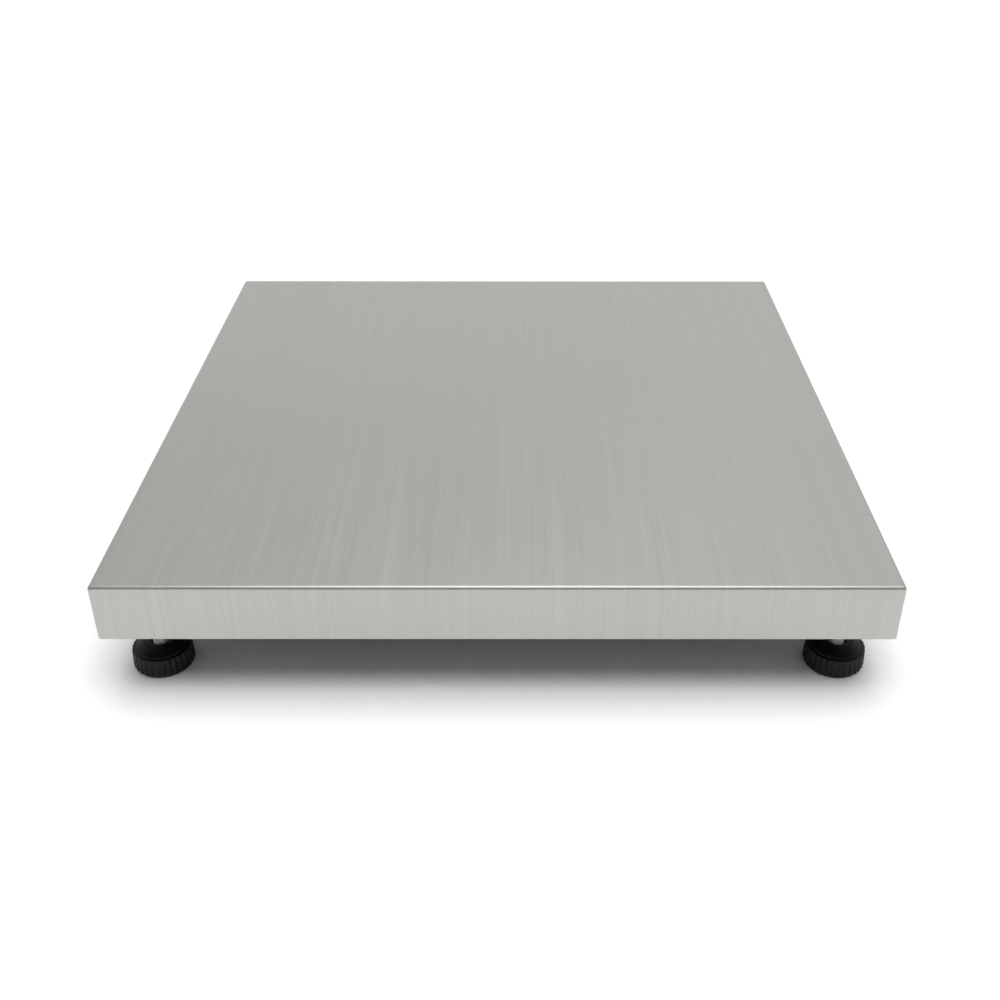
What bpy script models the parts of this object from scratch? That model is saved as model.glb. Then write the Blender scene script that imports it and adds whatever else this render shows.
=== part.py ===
"""Platform shipping scale: a loose stainless pan on a steel platform frame, weighed by one load cell.

Units are metres. X runs to the right, Y to the rear and Z up, and the origin is on the floor
under the middle of the pan. Both frames are side rails joined by a pair of cross rails. The load
cell lies between the cross rails: its left end is bolted to the base frame, and its right end
carries the platform frame.
"""

import math

import bmesh
import bpy
from mathutils import Matrix, Vector

GAP = 0.0003  # left between pieces that touch
CUT_LAP = 0.001  # how far a cutter runs past the faces that it cuts

# The pan
PAN_WIDTH = 0.500
PAN_DEPTH = 0.500
PAN_SKIRT = 0.040
PAN_SHEET = 0.0012
PAN_FOLD_RADIUS = 0.003
PAN_CORNER_RADIUS = 0.0015

# The box tube of both frames
RAIL_WIDTH = 0.030
RAIL_HEIGHT = 0.020
RAIL_WALL = 0.002
RAIL_RADIUS = 0.003
RAIL_END_INSET = 0.015  # from the pan's front and rear to the side rails' ends
FRAME_GAP = 0.005  # the least height between the two frames
OVERLOAD_GAP = 0.0006  # from the overload stops to the platform frame

# The load cell and what bolts it down
CELL_LENGTH = 0.150
CELL_WIDTH = 0.040
CELL_HEIGHT = 0.030
CELL_SIDE_ROOM = 0.007  # from the cell's side to a cross rail
CELL_END_TO_BOLT = 0.0125
CELL_BOLT_PITCH = 0.025
CELL_EYE_RADIUS = 0.009
CELL_EYE_PITCH = 0.030
CELL_EYE_SLOT = 0.006
SPACER_THICKNESS = 0.0015  # the least that keeps the bending middle off the plates
SPACER_LENGTH = 0.045
PLATE_MARGIN = 0.005  # from the cell's end to the cell plate's edge
PLATE_LENGTH = 0.058
BASE_PLATE = 0.006
PLATFORM_PLATE = 0.005

# Fasteners
BOLT_RADIUS = 0.004
BOLT_HEAD_ACROSS = 0.013
BOLT_HEAD_HEIGHT = 0.0053
BOLT_HOLE_ROOM = 0.0005
BOLT_BITE = 0.012  # thread engaged in the load cell
BITE_SPARE = 0.002  # depth of the thread beyond the bolt's tip
SUNK_HEAD_RADIUS = 0.0075
SUNK_HEAD_HEIGHT = 0.004
SUNK_HEAD_RIM = 0.0006
STOP_NUT_HEIGHT = 0.004
STOP_NUT_ACROSS = 0.013
BUSH_WALL = 0.003  # around the threads of the stops and the feet
STOP_TO_FOOT = 0.045

# The levelling feet
FOOT_INSET_X = 0.028
FOOT_INSET_Y = 0.0305
FOOT_RADIUS = 0.020
FOOT_HEIGHT = 0.0175
FOOT_TAPER = 0.0006  # how much narrower the fluted band is at its top
FOOT_SHOULDER_WIDTH = 0.0029  # from the band in to the dome
FOOT_SHOULDER_RISE = 0.0009
FOOT_DOME_RISE = 0.0024
FOOT_RIM_LIFT = 0.0015
FOOT_BOSS_RADIUS = 0.006
FOOT_BOSS_LIFT = 0.001
FLUTE_COUNT = 30
FLUTE_DEPTH = 0.001
FLUTE_WIDTH = 0.003
SOLE_INSET = 0.0015  # from the foot's rim in to the sole
SOLE_HEIGHT = 0.003
STUD_RADIUS = 0.005
STUD_FLOOR = 0.0029  # of the foot, between the sole's recess and the stud's seat
STUD_SHOWING = 0.0092  # between the foot and its lock nut
STUD_TOP_ROOM = 0.0035  # from the stud's top at rest down from the base frame's top
FOOT_NUT_HEIGHT = 0.005
FOOT_NUT_ACROSS = 0.017

# The pan's rubber pads
PAD_RADIUS = 0.012
PAD_HEIGHT = 0.003

# The bubble level on its tab
LEVEL_RADIUS = 0.012
LEVEL_HEIGHT = 0.009
LEVEL_WALL = 0.0017
LEVEL_FLOOR = 0.002
LEVEL_LENS_BELOW_RIM = 0.0003
LEVEL_TO_FOOT = 0.054
TAB_THICKNESS = 0.002
TAB_LENGTH = 0.036
TAB_WIDTH = 0.030

# The signal socket on its tab
SOCKET_RADIUS = 0.008
SOCKET_FLANGE_WIDTH = 0.003
SOCKET_FLANGE = 0.002
SOCKET_BARREL_RADIUS = 0.0085
SOCKET_BARREL = 0.008
SOCKET_WALL = 0.002
SOCKET_RECESS = 0.016
SOCKET_BODY = 0.0173  # from the flange to the socket's back
SOCKET_NUT_HEIGHT = 0.003
SOCKET_NUT_WALL = 0.002
SOCKET_FROM_RAIL = 0.020
SOCKET_TAB_INSET = 0.053  # from the pan's rear to the tab's rear face
SOCKET_TAB_HEIGHT = 0.024
SOCKET_TAB_MARGIN = 0.005

# The load cell's lead and its clips
LEAD_RADIUS = 0.002
LEAD_ROOM = 0.0004  # around the lead, in its holes and clips
LEAD_STEP = 0.011
LEAD_HOLE_DEPTH = 0.004
CLIP_WALL = 0.0015
CLIP_WIDTH = 0.006
CLIP_TAB = 0.018
CROSS_CLIP_X = -0.114
RAIL_CLIP_Y = 0.130
LEAD_ROUTE = (
    (-0.0713, 0.0000, 0.0551),
    (-0.0800, 0.0000, 0.0551),
    (-0.0870, 0.0010, 0.0543),
    (-0.0960, 0.0060, 0.0480),
    (-0.1040, 0.0140, 0.0370),
    (-0.1110, 0.0220, 0.0295),
    (-0.1140, 0.0320, 0.0279),
    (-0.1140, 0.0420, 0.0279),
    (-0.1140, 0.0520, 0.0279),
    (-0.1160, 0.0630, 0.0288),
    (-0.1280, 0.0800, 0.0330),
    (-0.1530, 0.0970, 0.0385),
    (-0.1820, 0.1070, 0.0415),
    (-0.1980, 0.1160, 0.0420),
    (-0.2029, 0.1240, 0.0420),
    (-0.2029, 0.1300, 0.0420),
    (-0.2029, 0.1360, 0.0420),
    (-0.2000, 0.1470, 0.0420),
    (-0.1920, 0.1590, 0.0420),
    (-0.1875, 0.1690, 0.0420),
    (-0.1870, 0.1770, 0.0420),
    (-0.1870, 0.1834, 0.0420),
)

ROUND_SIDES = 20
BOLT_SIDES = 12
CORNERS = {
    "front_left": (-1, -1),
    "front_right": (1, -1),
    "rear_left": (-1, 1),
    "rear_right": (1, 1),
}

# Heights, from the floor up
foot_nut_low = FOOT_HEIGHT + STUD_SHOWING
base_low = foot_nut_low + FOOT_NUT_HEIGHT + GAP
base_high = base_low + RAIL_HEIGHT
plates_and_cell = BASE_PLATE + CELL_HEIGHT + PLATFORM_PLATE + 4 * GAP
platform_high = base_low + max(2 * RAIL_HEIGHT + FRAME_GAP, plates_and_cell + 2 * SPACER_THICKNESS)
platform_low = platform_high - RAIL_HEIGHT
spacer_height = (platform_high - base_low - plates_and_cell) / 2
fixed_spacer_low = base_low + BASE_PLATE + GAP
cell_low = fixed_spacer_low + spacer_height + GAP
cell_high = cell_low + CELL_HEIGHT
live_spacer_low = cell_high + GAP
pad_low = platform_high + GAP
pan_under = pad_low + PAD_HEIGHT + GAP
pan_top = pan_under + PAN_SHEET
stop_top = platform_low - OVERLOAD_GAP

# Places, from the middle out
foot_x = PAN_WIDTH / 2 - FOOT_INSET_X
foot_y = PAN_DEPTH / 2 - FOOT_INSET_Y
rail_length = PAN_DEPTH - 2 * RAIL_END_INSET
rail_inner_x = foot_x - RAIL_WIDTH / 2
cross_y = CELL_WIDTH / 2 + CELL_SIDE_ROOM + RAIL_WIDTH / 2
cross_length = 2 * (rail_inner_x - GAP)
stop_y = foot_y - STOP_TO_FOOT
plate_width = 2 * (cross_y - RAIL_WIDTH / 2 - GAP)
plate_x = CELL_LENGTH / 2 + PLATE_MARGIN - PLATE_LENGTH / 2
bolts_x = CELL_LENGTH / 2 - CELL_END_TO_BOLT - CELL_BOLT_PITCH / 2
socket_tab_y = PAN_DEPTH / 2 - SOCKET_TAB_INSET
socket_x = -(rail_inner_x - SOCKET_FROM_RAIL)
socket_z = base_low + RAIL_HEIGHT / 2
socket_flange_radius = SOCKET_RADIUS + SOCKET_FLANGE_WIDTH
lead_hole_radius = LEAD_RADIUS + LEAD_ROOM
sole_radius = FOOT_RADIUS - SOLE_INSET
stud_low = SOLE_HEIGHT + STUD_FLOOR + 2 * GAP


def clear_scene():
    for obj in list(bpy.data.objects):
        bpy.data.objects.remove(obj, do_unlink=True)


def new_collection(name):
    collection = bpy.data.collections.new(name)
    bpy.context.scene.collection.children.link(collection)
    return collection


clear_scene()
parts = new_collection("platform_shipping_scale")
cutters = new_collection("cutters")


def new_material(name, colour, roughness, metallic=0.0, alpha=1.0):
    material = bpy.data.materials.new(name)
    material.use_nodes = True
    shader = material.node_tree.nodes["Principled BSDF"]
    shader.inputs["Base Color"].default_value = (*colour, 1.0)
    shader.inputs["Roughness"].default_value = roughness
    shader.inputs["Metallic"].default_value = metallic
    shader.inputs["Alpha"].default_value = alpha
    material.diffuse_color = (*colour, alpha)
    return material


brushed_stainless = new_material("brushed_stainless", (0.44, 0.43, 0.41), 0.36, 1.0)
painted_steel = new_material("painted_steel", (0.17, 0.18, 0.19), 0.5)
zinc_steel = new_material("zinc_steel", (0.60, 0.60, 0.57), 0.35, 1.0)
cell_aluminium = new_material("cell_aluminium", (0.71, 0.72, 0.74), 0.32, 1.0)
silicone = new_material("silicone", (0.78, 0.77, 0.72), 0.55)
black_plastic = new_material("black_plastic", (0.018, 0.018, 0.018), 0.42)
black_rubber = new_material("black_rubber", (0.022, 0.022, 0.022), 0.75)
lead_jacket = new_material("lead_jacket", (0.06, 0.06, 0.065), 0.5)
level_glass = new_material("level_glass", (0.62, 0.85, 0.25), 0.08, 0.0, 0.6)
nickel = new_material("nickel", (0.66, 0.64, 0.60), 0.25, 1.0)


def new_body(name, parent=None, place=(0, 0, 0)):
    """An empty on a joint's axis, which holds the pieces that move together."""
    empty = bpy.data.objects.new(name, None)
    empty.empty_display_size = 0.02
    empty.location = place
    parts.objects.link(empty)
    if parent:
        hold(empty, parent)
    return empty


def hold(obj, body):
    """Parents an object to a body and leaves it where it stands."""
    bpy.context.view_layer.update()
    obj.parent = body
    obj.matrix_parent_inverse = body.matrix_world.inverted()


def new_piece(name, mesh, material, body, place=(0, 0, 0), turn=(0, 0, 0)):
    piece = bpy.data.objects.new(name, mesh)
    piece.location = place
    piece.rotation_euler = turn
    parts.objects.link(piece)
    if not mesh.materials:
        mesh.materials.append(material)
    hold(piece, body)
    return piece


def new_cutter(name, mesh, place=(0, 0, 0), turn=(0, 0, 0)):
    cutter = bpy.data.objects.new(name, mesh)
    cutter.location = place
    cutter.rotation_euler = turn
    cutter.hide_render = True
    cutter.display_type = "WIRE"
    cutters.objects.link(cutter)
    return cutter


def combine(piece, other, operation):
    boolean = piece.modifiers.new(other.name, "BOOLEAN")
    boolean.object = other
    boolean.operation = operation
    boolean.solver = "EXACT"


def mesh_of(work, name, smooth_under=math.radians(35)):
    mesh = bpy.data.meshes.new(name)
    work.to_mesh(mesh)
    work.free()
    mesh.shade_smooth()
    mesh.set_sharp_from_angle(angle=smooth_under)
    return mesh


def baked_mesh(obj, name):
    """The object's finished mesh, for a shape that several pieces share. The object is removed."""
    bpy.context.view_layer.update()
    graph = bpy.context.evaluated_depsgraph_get()
    mesh = bpy.data.meshes.new_from_object(obj.evaluated_get(graph))
    mesh.name = name
    bpy.data.objects.remove(obj)
    return mesh


def box_mesh(name, width, depth, height):
    """A box that stands on its origin."""
    work = bmesh.new()
    shape = Matrix.Translation((0, 0, height / 2)) @ Matrix.Diagonal((width, depth, height, 1))
    bmesh.ops.create_cube(work, size=1, matrix=shape)
    return mesh_of(work, name)


def rods_mesh(name, spots, radius, height, sides=ROUND_SIDES, top_radius=None):
    """Upright cylinders, cones or, with six sides, hexagons, one standing on each (x, y)."""
    work = bmesh.new()
    for x, y in spots:
        bmesh.ops.create_cone(
            work,
            cap_ends=True,
            segments=sides,
            radius1=radius,
            radius2=radius if top_radius is None else top_radius,
            depth=height,
            matrix=Matrix.Translation((x, y, height / 2)),
        )
    return mesh_of(work, name)


def turned_piece(name, profile, sides=ROUND_SIDES):
    """A loose object turned about Z from (radius, height) points that run down its outer side."""
    work = bmesh.new()
    ring = [work.verts.new((radius, 0, height)) for radius, height in profile]
    for first, second in zip(ring, ring[1:]):
        work.edges.new((first, second))
    piece = bpy.data.objects.new(name, mesh_of(work, name))
    parts.objects.link(piece)
    screw = piece.modifiers.new("turn", "SCREW")
    screw.steps = sides
    screw.render_steps = sides
    screw.use_merge_vertices = True
    screw.merge_threshold = 0.00001
    screw.use_smooth_shade = False
    return piece


def across(width):
    """The corner radius of a hexagon of this width across its flats."""
    return width / math.sqrt(3)


def hex_nut_mesh(name, width, height, hole_radius):
    body = bpy.data.objects.new(name, rods_mesh(name, [(0, 0)], across(width), height, 6))
    parts.objects.link(body)
    hole_mesh = rods_mesh(name + "_hole", [(0, 0)], hole_radius, height + 2 * CUT_LAP)
    combine(body, new_cutter(name + "_hole", hole_mesh, (0, 0, -CUT_LAP)), "DIFFERENCE")
    return baked_mesh(body, name)


def hex_bolt_mesh(name, shaft_length, head_width, head_height, radius):
    """A bolt that points up, with the underside of its head's seat at its origin."""
    body = bpy.data.objects.new(
        name, rods_mesh(name, [(0, 0)], across(head_width), head_height, 6)
    )
    body.location.z = -head_height
    parts.objects.link(body)
    root = head_height / 2
    shaft_mesh = rods_mesh(name + "_shaft", [(0, 0)], radius, shaft_length + root, BOLT_SIDES)
    combine(body, new_cutter(name + "_shaft", shaft_mesh, (0, 0, -root)), "UNION")
    mesh = baked_mesh(body, name)
    mesh.transform(Matrix.Translation((0, 0, -head_height)))
    return mesh


def bolt_spots(middle_x):
    half = CELL_BOLT_PITCH / 2
    return [(middle_x + side_x * half, side_y * half) for side_x, side_y in CORNERS.values()]


def build_pan(pan):
    """A square sheet folded down on four sides and welded at the corners."""
    work = bmesh.new()
    shape = Matrix.Diagonal((PAN_WIDTH, PAN_DEPTH, PAN_SKIRT, 1))
    bmesh.ops.create_cube(work, size=1, matrix=Matrix.Translation((0, 0, -PAN_SKIRT / 2)) @ shape)
    open_side = [face for face in work.faces if face.normal.z < -0.5]
    bmesh.ops.delete(work, geom=open_side, context="FACES_ONLY")
    weights = work.edges.layers.float.new("bevel_weight_edge")
    for edge in work.edges:
        low, high = sorted(vert.co.z for vert in edge.verts)
        if low > -0.001:
            edge[weights] = 1.0
        elif high > -0.001:
            edge[weights] = PAN_CORNER_RADIUS / PAN_FOLD_RADIUS
    piece = new_piece("pan", mesh_of(work, "pan"), brushed_stainless, pan, (0, 0, pan_top))
    folds = piece.modifiers.new("folds", "BEVEL")
    folds.limit_method = "WEIGHT"
    folds.width = PAN_FOLD_RADIUS
    folds.segments = 4
    sheet = piece.modifiers.new("sheet", "SOLIDIFY")
    sheet.thickness = PAN_SHEET
    sheet.offset = -1
    sheet.use_even_offset = True


def tube_mesh(name, length):
    """The outside of a box tube along Y, open at both ends, which stands on its origin."""
    work = bmesh.new()
    shape = Matrix.Diagonal((RAIL_WIDTH, length, RAIL_HEIGHT, 1))
    bmesh.ops.create_cube(work, size=1, matrix=Matrix.Translation((0, 0, RAIL_HEIGHT / 2)) @ shape)
    ends = [face for face in work.faces if abs(face.normal.y) > 0.5]
    bmesh.ops.delete(work, geom=ends, context="FACES_ONLY")
    long_edges = [edge for edge in work.edges if abs(edge.verts[0].co.y - edge.verts[1].co.y) > 0.001]
    bmesh.ops.bevel(work, geom=long_edges, offset=RAIL_RADIUS, segments=2, profile=0.5, affect="EDGES")
    return mesh_of(work, name)


def new_rail(name, length, body, place, turn=0.0):
    rail = new_piece(name, tube_mesh(name, length), painted_steel, body, place, (0, 0, turn))
    wall = rail.modifiers.new("wall", "SOLIDIFY")
    wall.thickness = RAIL_WALL
    wall.offset = -1
    wall.use_even_offset = True
    return rail


def weld_bushes(rail, spots, thread_radius):
    """Welds a bush for each upright thread into a base rail, and bores it right through."""
    inset = RAIL_WALL / 2
    name = f"{rail.name}_bushes_{thread_radius * 2000:.0f}"
    bushes = rods_mesh(name, spots, thread_radius + GAP + BUSH_WALL, RAIL_HEIGHT - 2 * inset)
    combine(rail, new_cutter(name, bushes, (0, 0, base_low + inset)), "UNION")
    bores = rods_mesh(name + "_bores", spots, thread_radius + GAP, RAIL_HEIGHT + 2 * CUT_LAP)
    combine(rail, new_cutter(name + "_bores", bores, (0, 0, base_low - CUT_LAP)), "DIFFERENCE")


def build_frames(base, platform):
    for side, x in (("left", -foot_x), ("right", foot_x)):
        rail = new_rail(f"base_rail_{side}", rail_length, base, (x, 0, base_low))
        weld_bushes(rail, [(x, -foot_y), (x, foot_y)], STUD_RADIUS)
        weld_bushes(rail, [(x, -stop_y), (x, stop_y)], BOLT_RADIUS)
        new_rail(f"platform_rail_{side}", rail_length, platform, (x, 0, platform_low))
    for end, y in (("front", -cross_y), ("rear", cross_y)):
        new_rail(f"base_cross_{end}", cross_length, base, (0, y, base_low), math.pi / 2)
        new_rail(f"platform_cross_{end}", cross_length, platform, (0, y, platform_low), math.pi / 2)


def build_cell_plates(base, platform):
    """The welded plates that the load cell bolts to, and the spacers that keep its middle free."""
    for side, body, low, thickness in (
        (-1, base, base_low, BASE_PLATE),
        (1, platform, platform_high - PLATFORM_PLATE, PLATFORM_PLATE),
    ):
        name = "base_cell_plate" if side < 0 else "platform_cell_plate"
        mesh = box_mesh(name, PLATE_LENGTH, plate_width, thickness)
        plate = new_piece(name, mesh, painted_steel, body, (side * plate_x, 0, low))
        drill_bolt_holes(plate, side * bolts_x, low, thickness)
        if side > 0:
            sink_live_bolts(plate)
    for side, body, low in ((-1, base, fixed_spacer_low), (1, platform, live_spacer_low)):
        name = "cell_spacer_fixed" if side < 0 else "cell_spacer_live"
        mesh = box_mesh(name, SPACER_LENGTH, CELL_WIDTH, spacer_height)
        x = side * (CELL_LENGTH / 2 - SPACER_LENGTH / 2)
        spacer = new_piece(name, mesh, zinc_steel, body, (x, 0, low))
        drill_bolt_holes(spacer, side * bolts_x, low, spacer_height)


def drill_bolt_holes(piece, middle_x, low, thickness):
    name = piece.name + "_holes"
    radius = BOLT_RADIUS + BOLT_HOLE_ROOM
    holes = rods_mesh(name, bolt_spots(middle_x), radius, thickness + 2 * CUT_LAP, BOLT_SIDES)
    combine(piece, new_cutter(name, holes, (0, 0, low - CUT_LAP)), "DIFFERENCE")


def sink_live_bolts(plate):
    """Countersinks the platform's cell plate, two gaps wider than the bolt heads all round."""
    spots = bolt_spots(bolts_x)
    tip_radius = BOLT_RADIUS + 2 * GAP
    mouth_radius = SUNK_HEAD_RADIUS + 2 * GAP
    rise = SUNK_HEAD_HEIGHT - SUNK_HEAD_RIM
    low = platform_high - SUNK_HEAD_HEIGHT - 3 * GAP
    cones = rods_mesh("sunk_cones", spots, tip_radius, rise, BOLT_SIDES, mouth_radius)
    combine(plate, new_cutter("sunk_cones", cones, (0, 0, low)), "DIFFERENCE")
    mouth_low = low + rise - GAP
    mouth_height = platform_high + CUT_LAP - mouth_low
    mouths = rods_mesh("sunk_mouths", spots, mouth_radius, mouth_height, BOLT_SIDES)
    combine(plate, new_cutter("sunk_mouths", mouths, (0, 0, mouth_low)), "DIFFERENCE")


def build_cell_bolts(base, platform):
    fixed_length = BASE_PLATE + GAP + spacer_height + GAP + BOLT_BITE + GAP
    fixed_mesh = hex_bolt_mesh(
        "fixed_bolt", fixed_length, BOLT_HEAD_ACROSS, BOLT_HEAD_HEIGHT, BOLT_RADIUS
    )
    live_top = platform_high - GAP
    live_tip = cell_high - BOLT_BITE - live_top
    profile = [
        (0, 0),
        (SUNK_HEAD_RADIUS, 0),
        (SUNK_HEAD_RADIUS, -SUNK_HEAD_RIM),
        (BOLT_RADIUS, -SUNK_HEAD_HEIGHT),
        (BOLT_RADIUS, live_tip),
        (0, live_tip),
    ]
    live_mesh = baked_mesh(turned_piece("live_bolt", profile, BOLT_SIDES), "live_bolt")
    for corner, (x, y) in zip(CORNERS, bolt_spots(-bolts_x)):
        new_piece(f"fixed_bolt_{corner}", fixed_mesh, zinc_steel, base, (x, y, base_low - GAP))
    for corner, (x, y) in zip(CORNERS, bolt_spots(bolts_x)):
        new_piece(f"live_bolt_{corner}", live_mesh, zinc_steel, platform, (x, y, live_top))


def eyes_mesh(name, eye_radius, slot, width):
    """Two round eyes joined by a slot, along Y: the cell's cut-out, and the seal that fills it."""
    turn = Matrix.Rotation(math.pi / 2, 4, "X") @ Matrix.Translation((0, 0, -width / 2))
    rods = rods_mesh(name, [(-CELL_EYE_PITCH / 2, 0), (CELL_EYE_PITCH / 2, 0)], eye_radius, width)
    rods.transform(turn)
    body = bpy.data.objects.new(name, rods)
    parts.objects.link(body)
    link_mesh = box_mesh(name + "_slot", CELL_EYE_PITCH, width, slot)
    combine(body, new_cutter(name + "_slot", link_mesh, (0, 0, -slot / 2)), "UNION")
    return baked_mesh(body, name)


def build_load_cell(base):
    cell = new_piece(
        "load_cell",
        box_mesh("load_cell", CELL_LENGTH, CELL_WIDTH, CELL_HEIGHT),
        cell_aluminium,
        base,
        (0, 0, cell_low),
    )
    middle = (0, 0, cell_low + CELL_HEIGHT / 2)
    eyes = eyes_mesh("cell_eyes", CELL_EYE_RADIUS, CELL_EYE_SLOT, CELL_WIDTH + 2 * CUT_LAP)
    combine(cell, new_cutter("cell_eyes", eyes, middle), "DIFFERENCE")
    depth = BOLT_BITE + BITE_SPARE
    for name, middle_x, low in (
        ("fixed_threads", -bolts_x, cell_low - CUT_LAP),
        ("live_threads", bolts_x, cell_high - depth),
    ):
        threads = rods_mesh(name, bolt_spots(middle_x), BOLT_RADIUS + GAP, depth + CUT_LAP, BOLT_SIDES)
        combine(cell, new_cutter(name, threads, (0, 0, low)), "DIFFERENCE")
    hole = rods_mesh("lead_hole", [(0, 0)], lead_hole_radius, LEAD_HOLE_DEPTH + CUT_LAP, BOLT_SIDES)
    entry = (-CELL_LENGTH / 2 - CUT_LAP, 0, middle[2])
    combine(cell, new_cutter("lead_hole", hole, entry, (0, math.pi / 2, 0)), "DIFFERENCE")
    seal = eyes_mesh("gauge_seal", CELL_EYE_RADIUS - GAP, CELL_EYE_SLOT - 2 * GAP, CELL_WIDTH)
    new_piece("gauge_seal", seal, silicone, base, middle)


def build_overload_stops(base):
    nut_low = base_low - GAP - STOP_NUT_HEIGHT
    head_top = nut_low - GAP
    bolt = hex_bolt_mesh(
        "overload_stop", stop_top - head_top, BOLT_HEAD_ACROSS, BOLT_HEAD_HEIGHT, BOLT_RADIUS
    )
    nut = hex_nut_mesh("overload_nut", STOP_NUT_ACROSS, STOP_NUT_HEIGHT, BOLT_RADIUS + GAP)
    for corner, (side_x, side_y) in CORNERS.items():
        x, y = side_x * foot_x, side_y * stop_y
        new_piece(f"overload_stop_{corner}", bolt, zinc_steel, base, (x, y, head_top))
        new_piece(f"overload_nut_{corner}", nut, zinc_steel, base, (x, y, nut_low))


def build_pads(platform):
    mesh = rods_mesh("pan_pad", [(0, 0)], PAD_RADIUS, PAD_HEIGHT)
    for corner, (side_x, side_y) in CORNERS.items():
        place = (side_x * foot_x, side_y * foot_y, pad_low)
        new_piece(f"pan_pad_{corner}", mesh, black_rubber, platform, place)


def foot_profile():
    """The foot from the bottom of the stud's seat, over the dome and the fluted band, to its boss."""
    seat_radius = STUD_RADIUS + GAP
    band_radius = FOOT_RADIUS - FOOT_TAPER
    dome_radius = band_radius - FOOT_SHOULDER_WIDTH
    profile = [(0, stud_low - GAP), (seat_radius, stud_low - GAP)]
    dome_steps = 3
    for step in range(dome_steps + 1):
        share = step / dome_steps
        radius = seat_radius + (dome_radius - seat_radius) * share
        profile.append((radius, FOOT_HEIGHT - FOOT_DOME_RISE * share**2))
    recess_radius = sole_radius + GAP
    recess_z = SOLE_HEIGHT + GAP
    return profile + [
        (band_radius, FOOT_HEIGHT - FOOT_DOME_RISE - FOOT_SHOULDER_RISE),
        (FOOT_RADIUS, FOOT_RIM_LIFT),
        (recess_radius, FOOT_RIM_LIFT),
        (recess_radius, recess_z),
        (FOOT_BOSS_RADIUS, recess_z),
        (FOOT_BOSS_RADIUS, FOOT_BOSS_LIFT),
        (0, FOOT_BOSS_LIFT),
    ]


def foot_mesh():
    """The fluted foot: each flute is a V cut down the whole band."""
    foot = turned_piece("foot", foot_profile(), FLUTE_COUNT)
    half_width = FLUTE_WIDTH / 2
    middle = FOOT_RADIUS + half_width - FLUTE_DEPTH
    work = bmesh.new()
    for flute in range(FLUTE_COUNT):
        angle = 2 * math.pi * flute / FLUTE_COUNT
        turn = Matrix.Rotation(angle, 4, "Z") @ Matrix.Translation((middle, 0, FOOT_HEIGHT / 2))
        bmesh.ops.create_cone(
            work,
            cap_ends=True,
            segments=4,
            radius1=half_width,
            radius2=half_width,
            depth=FOOT_HEIGHT,
            matrix=turn,
        )
    combine(foot, new_cutter("flutes", mesh_of(work, "flutes")), "DIFFERENCE")
    return baked_mesh(foot, "foot")


def build_feet(base):
    knob = foot_mesh()
    sole_profile = [
        (FOOT_BOSS_RADIUS + GAP, SOLE_HEIGHT),
        (sole_radius, SOLE_HEIGHT),
        (sole_radius, 0),
        (FOOT_BOSS_RADIUS + GAP, 0),
        (FOOT_BOSS_RADIUS + GAP, SOLE_HEIGHT),
    ]
    sole = baked_mesh(turned_piece("foot_sole", sole_profile), "foot_sole")
    stud_top = base_high - STUD_TOP_ROOM
    stud = rods_mesh("foot_stud", [(0, 0)], STUD_RADIUS, stud_top - stud_low)
    nut = hex_nut_mesh("foot_lock_nut", FOOT_NUT_ACROSS, FOOT_NUT_HEIGHT, STUD_RADIUS + GAP)
    for corner, (side_x, side_y) in CORNERS.items():
        x, y = side_x * foot_x, side_y * foot_y
        sole_body = new_body(f"foot_{corner}_slide", base, (x, y, 0))
        foot_body = new_body(f"foot_{corner}_turn", sole_body, (x, y, 0))
        new_piece(f"foot_sole_{corner}", sole, black_rubber, sole_body, (x, y, 0))
        new_piece(f"foot_{corner}", knob, black_plastic, foot_body, (x, y, 0))
        new_piece(f"foot_stud_{corner}", stud, zinc_steel, foot_body, (x, y, stud_low))
        new_piece(f"foot_lock_nut_{corner}", nut, zinc_steel, base, (x, y, foot_nut_low))


def build_level(base):
    """A bubble level on a tab of the right base rail, in view once the pan is off."""
    x = rail_inner_x - GAP - TAB_LENGTH / 2
    y = foot_y - LEVEL_TO_FOOT
    tab_top = base_high - TAB_THICKNESS / 2
    tab = box_mesh("level_tab", TAB_LENGTH, TAB_WIDTH, TAB_THICKNESS)
    new_piece("level_tab", tab, painted_steel, base, (x, y, tab_top - TAB_THICKNESS))
    inner = LEVEL_RADIUS - LEVEL_WALL
    cup_profile = [
        (0, LEVEL_FLOOR),
        (inner, LEVEL_FLOOR),
        (inner, LEVEL_HEIGHT),
        (LEVEL_RADIUS, LEVEL_HEIGHT),
        (LEVEL_RADIUS, 0),
        (0, 0),
    ]
    cup = baked_mesh(turned_piece("level_cup", cup_profile), "level_cup")
    cup_low = tab_top + GAP
    new_piece("level_cup", cup, nickel, base, (x, y, cup_low))
    lens_height = LEVEL_HEIGHT - LEVEL_FLOOR - GAP - LEVEL_LENS_BELOW_RIM
    lens = rods_mesh("level_lens", [(0, 0)], inner - GAP, lens_height)
    new_piece("level_lens", lens, level_glass, base, (x, y, cup_low + LEVEL_FLOOR + GAP))


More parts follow.
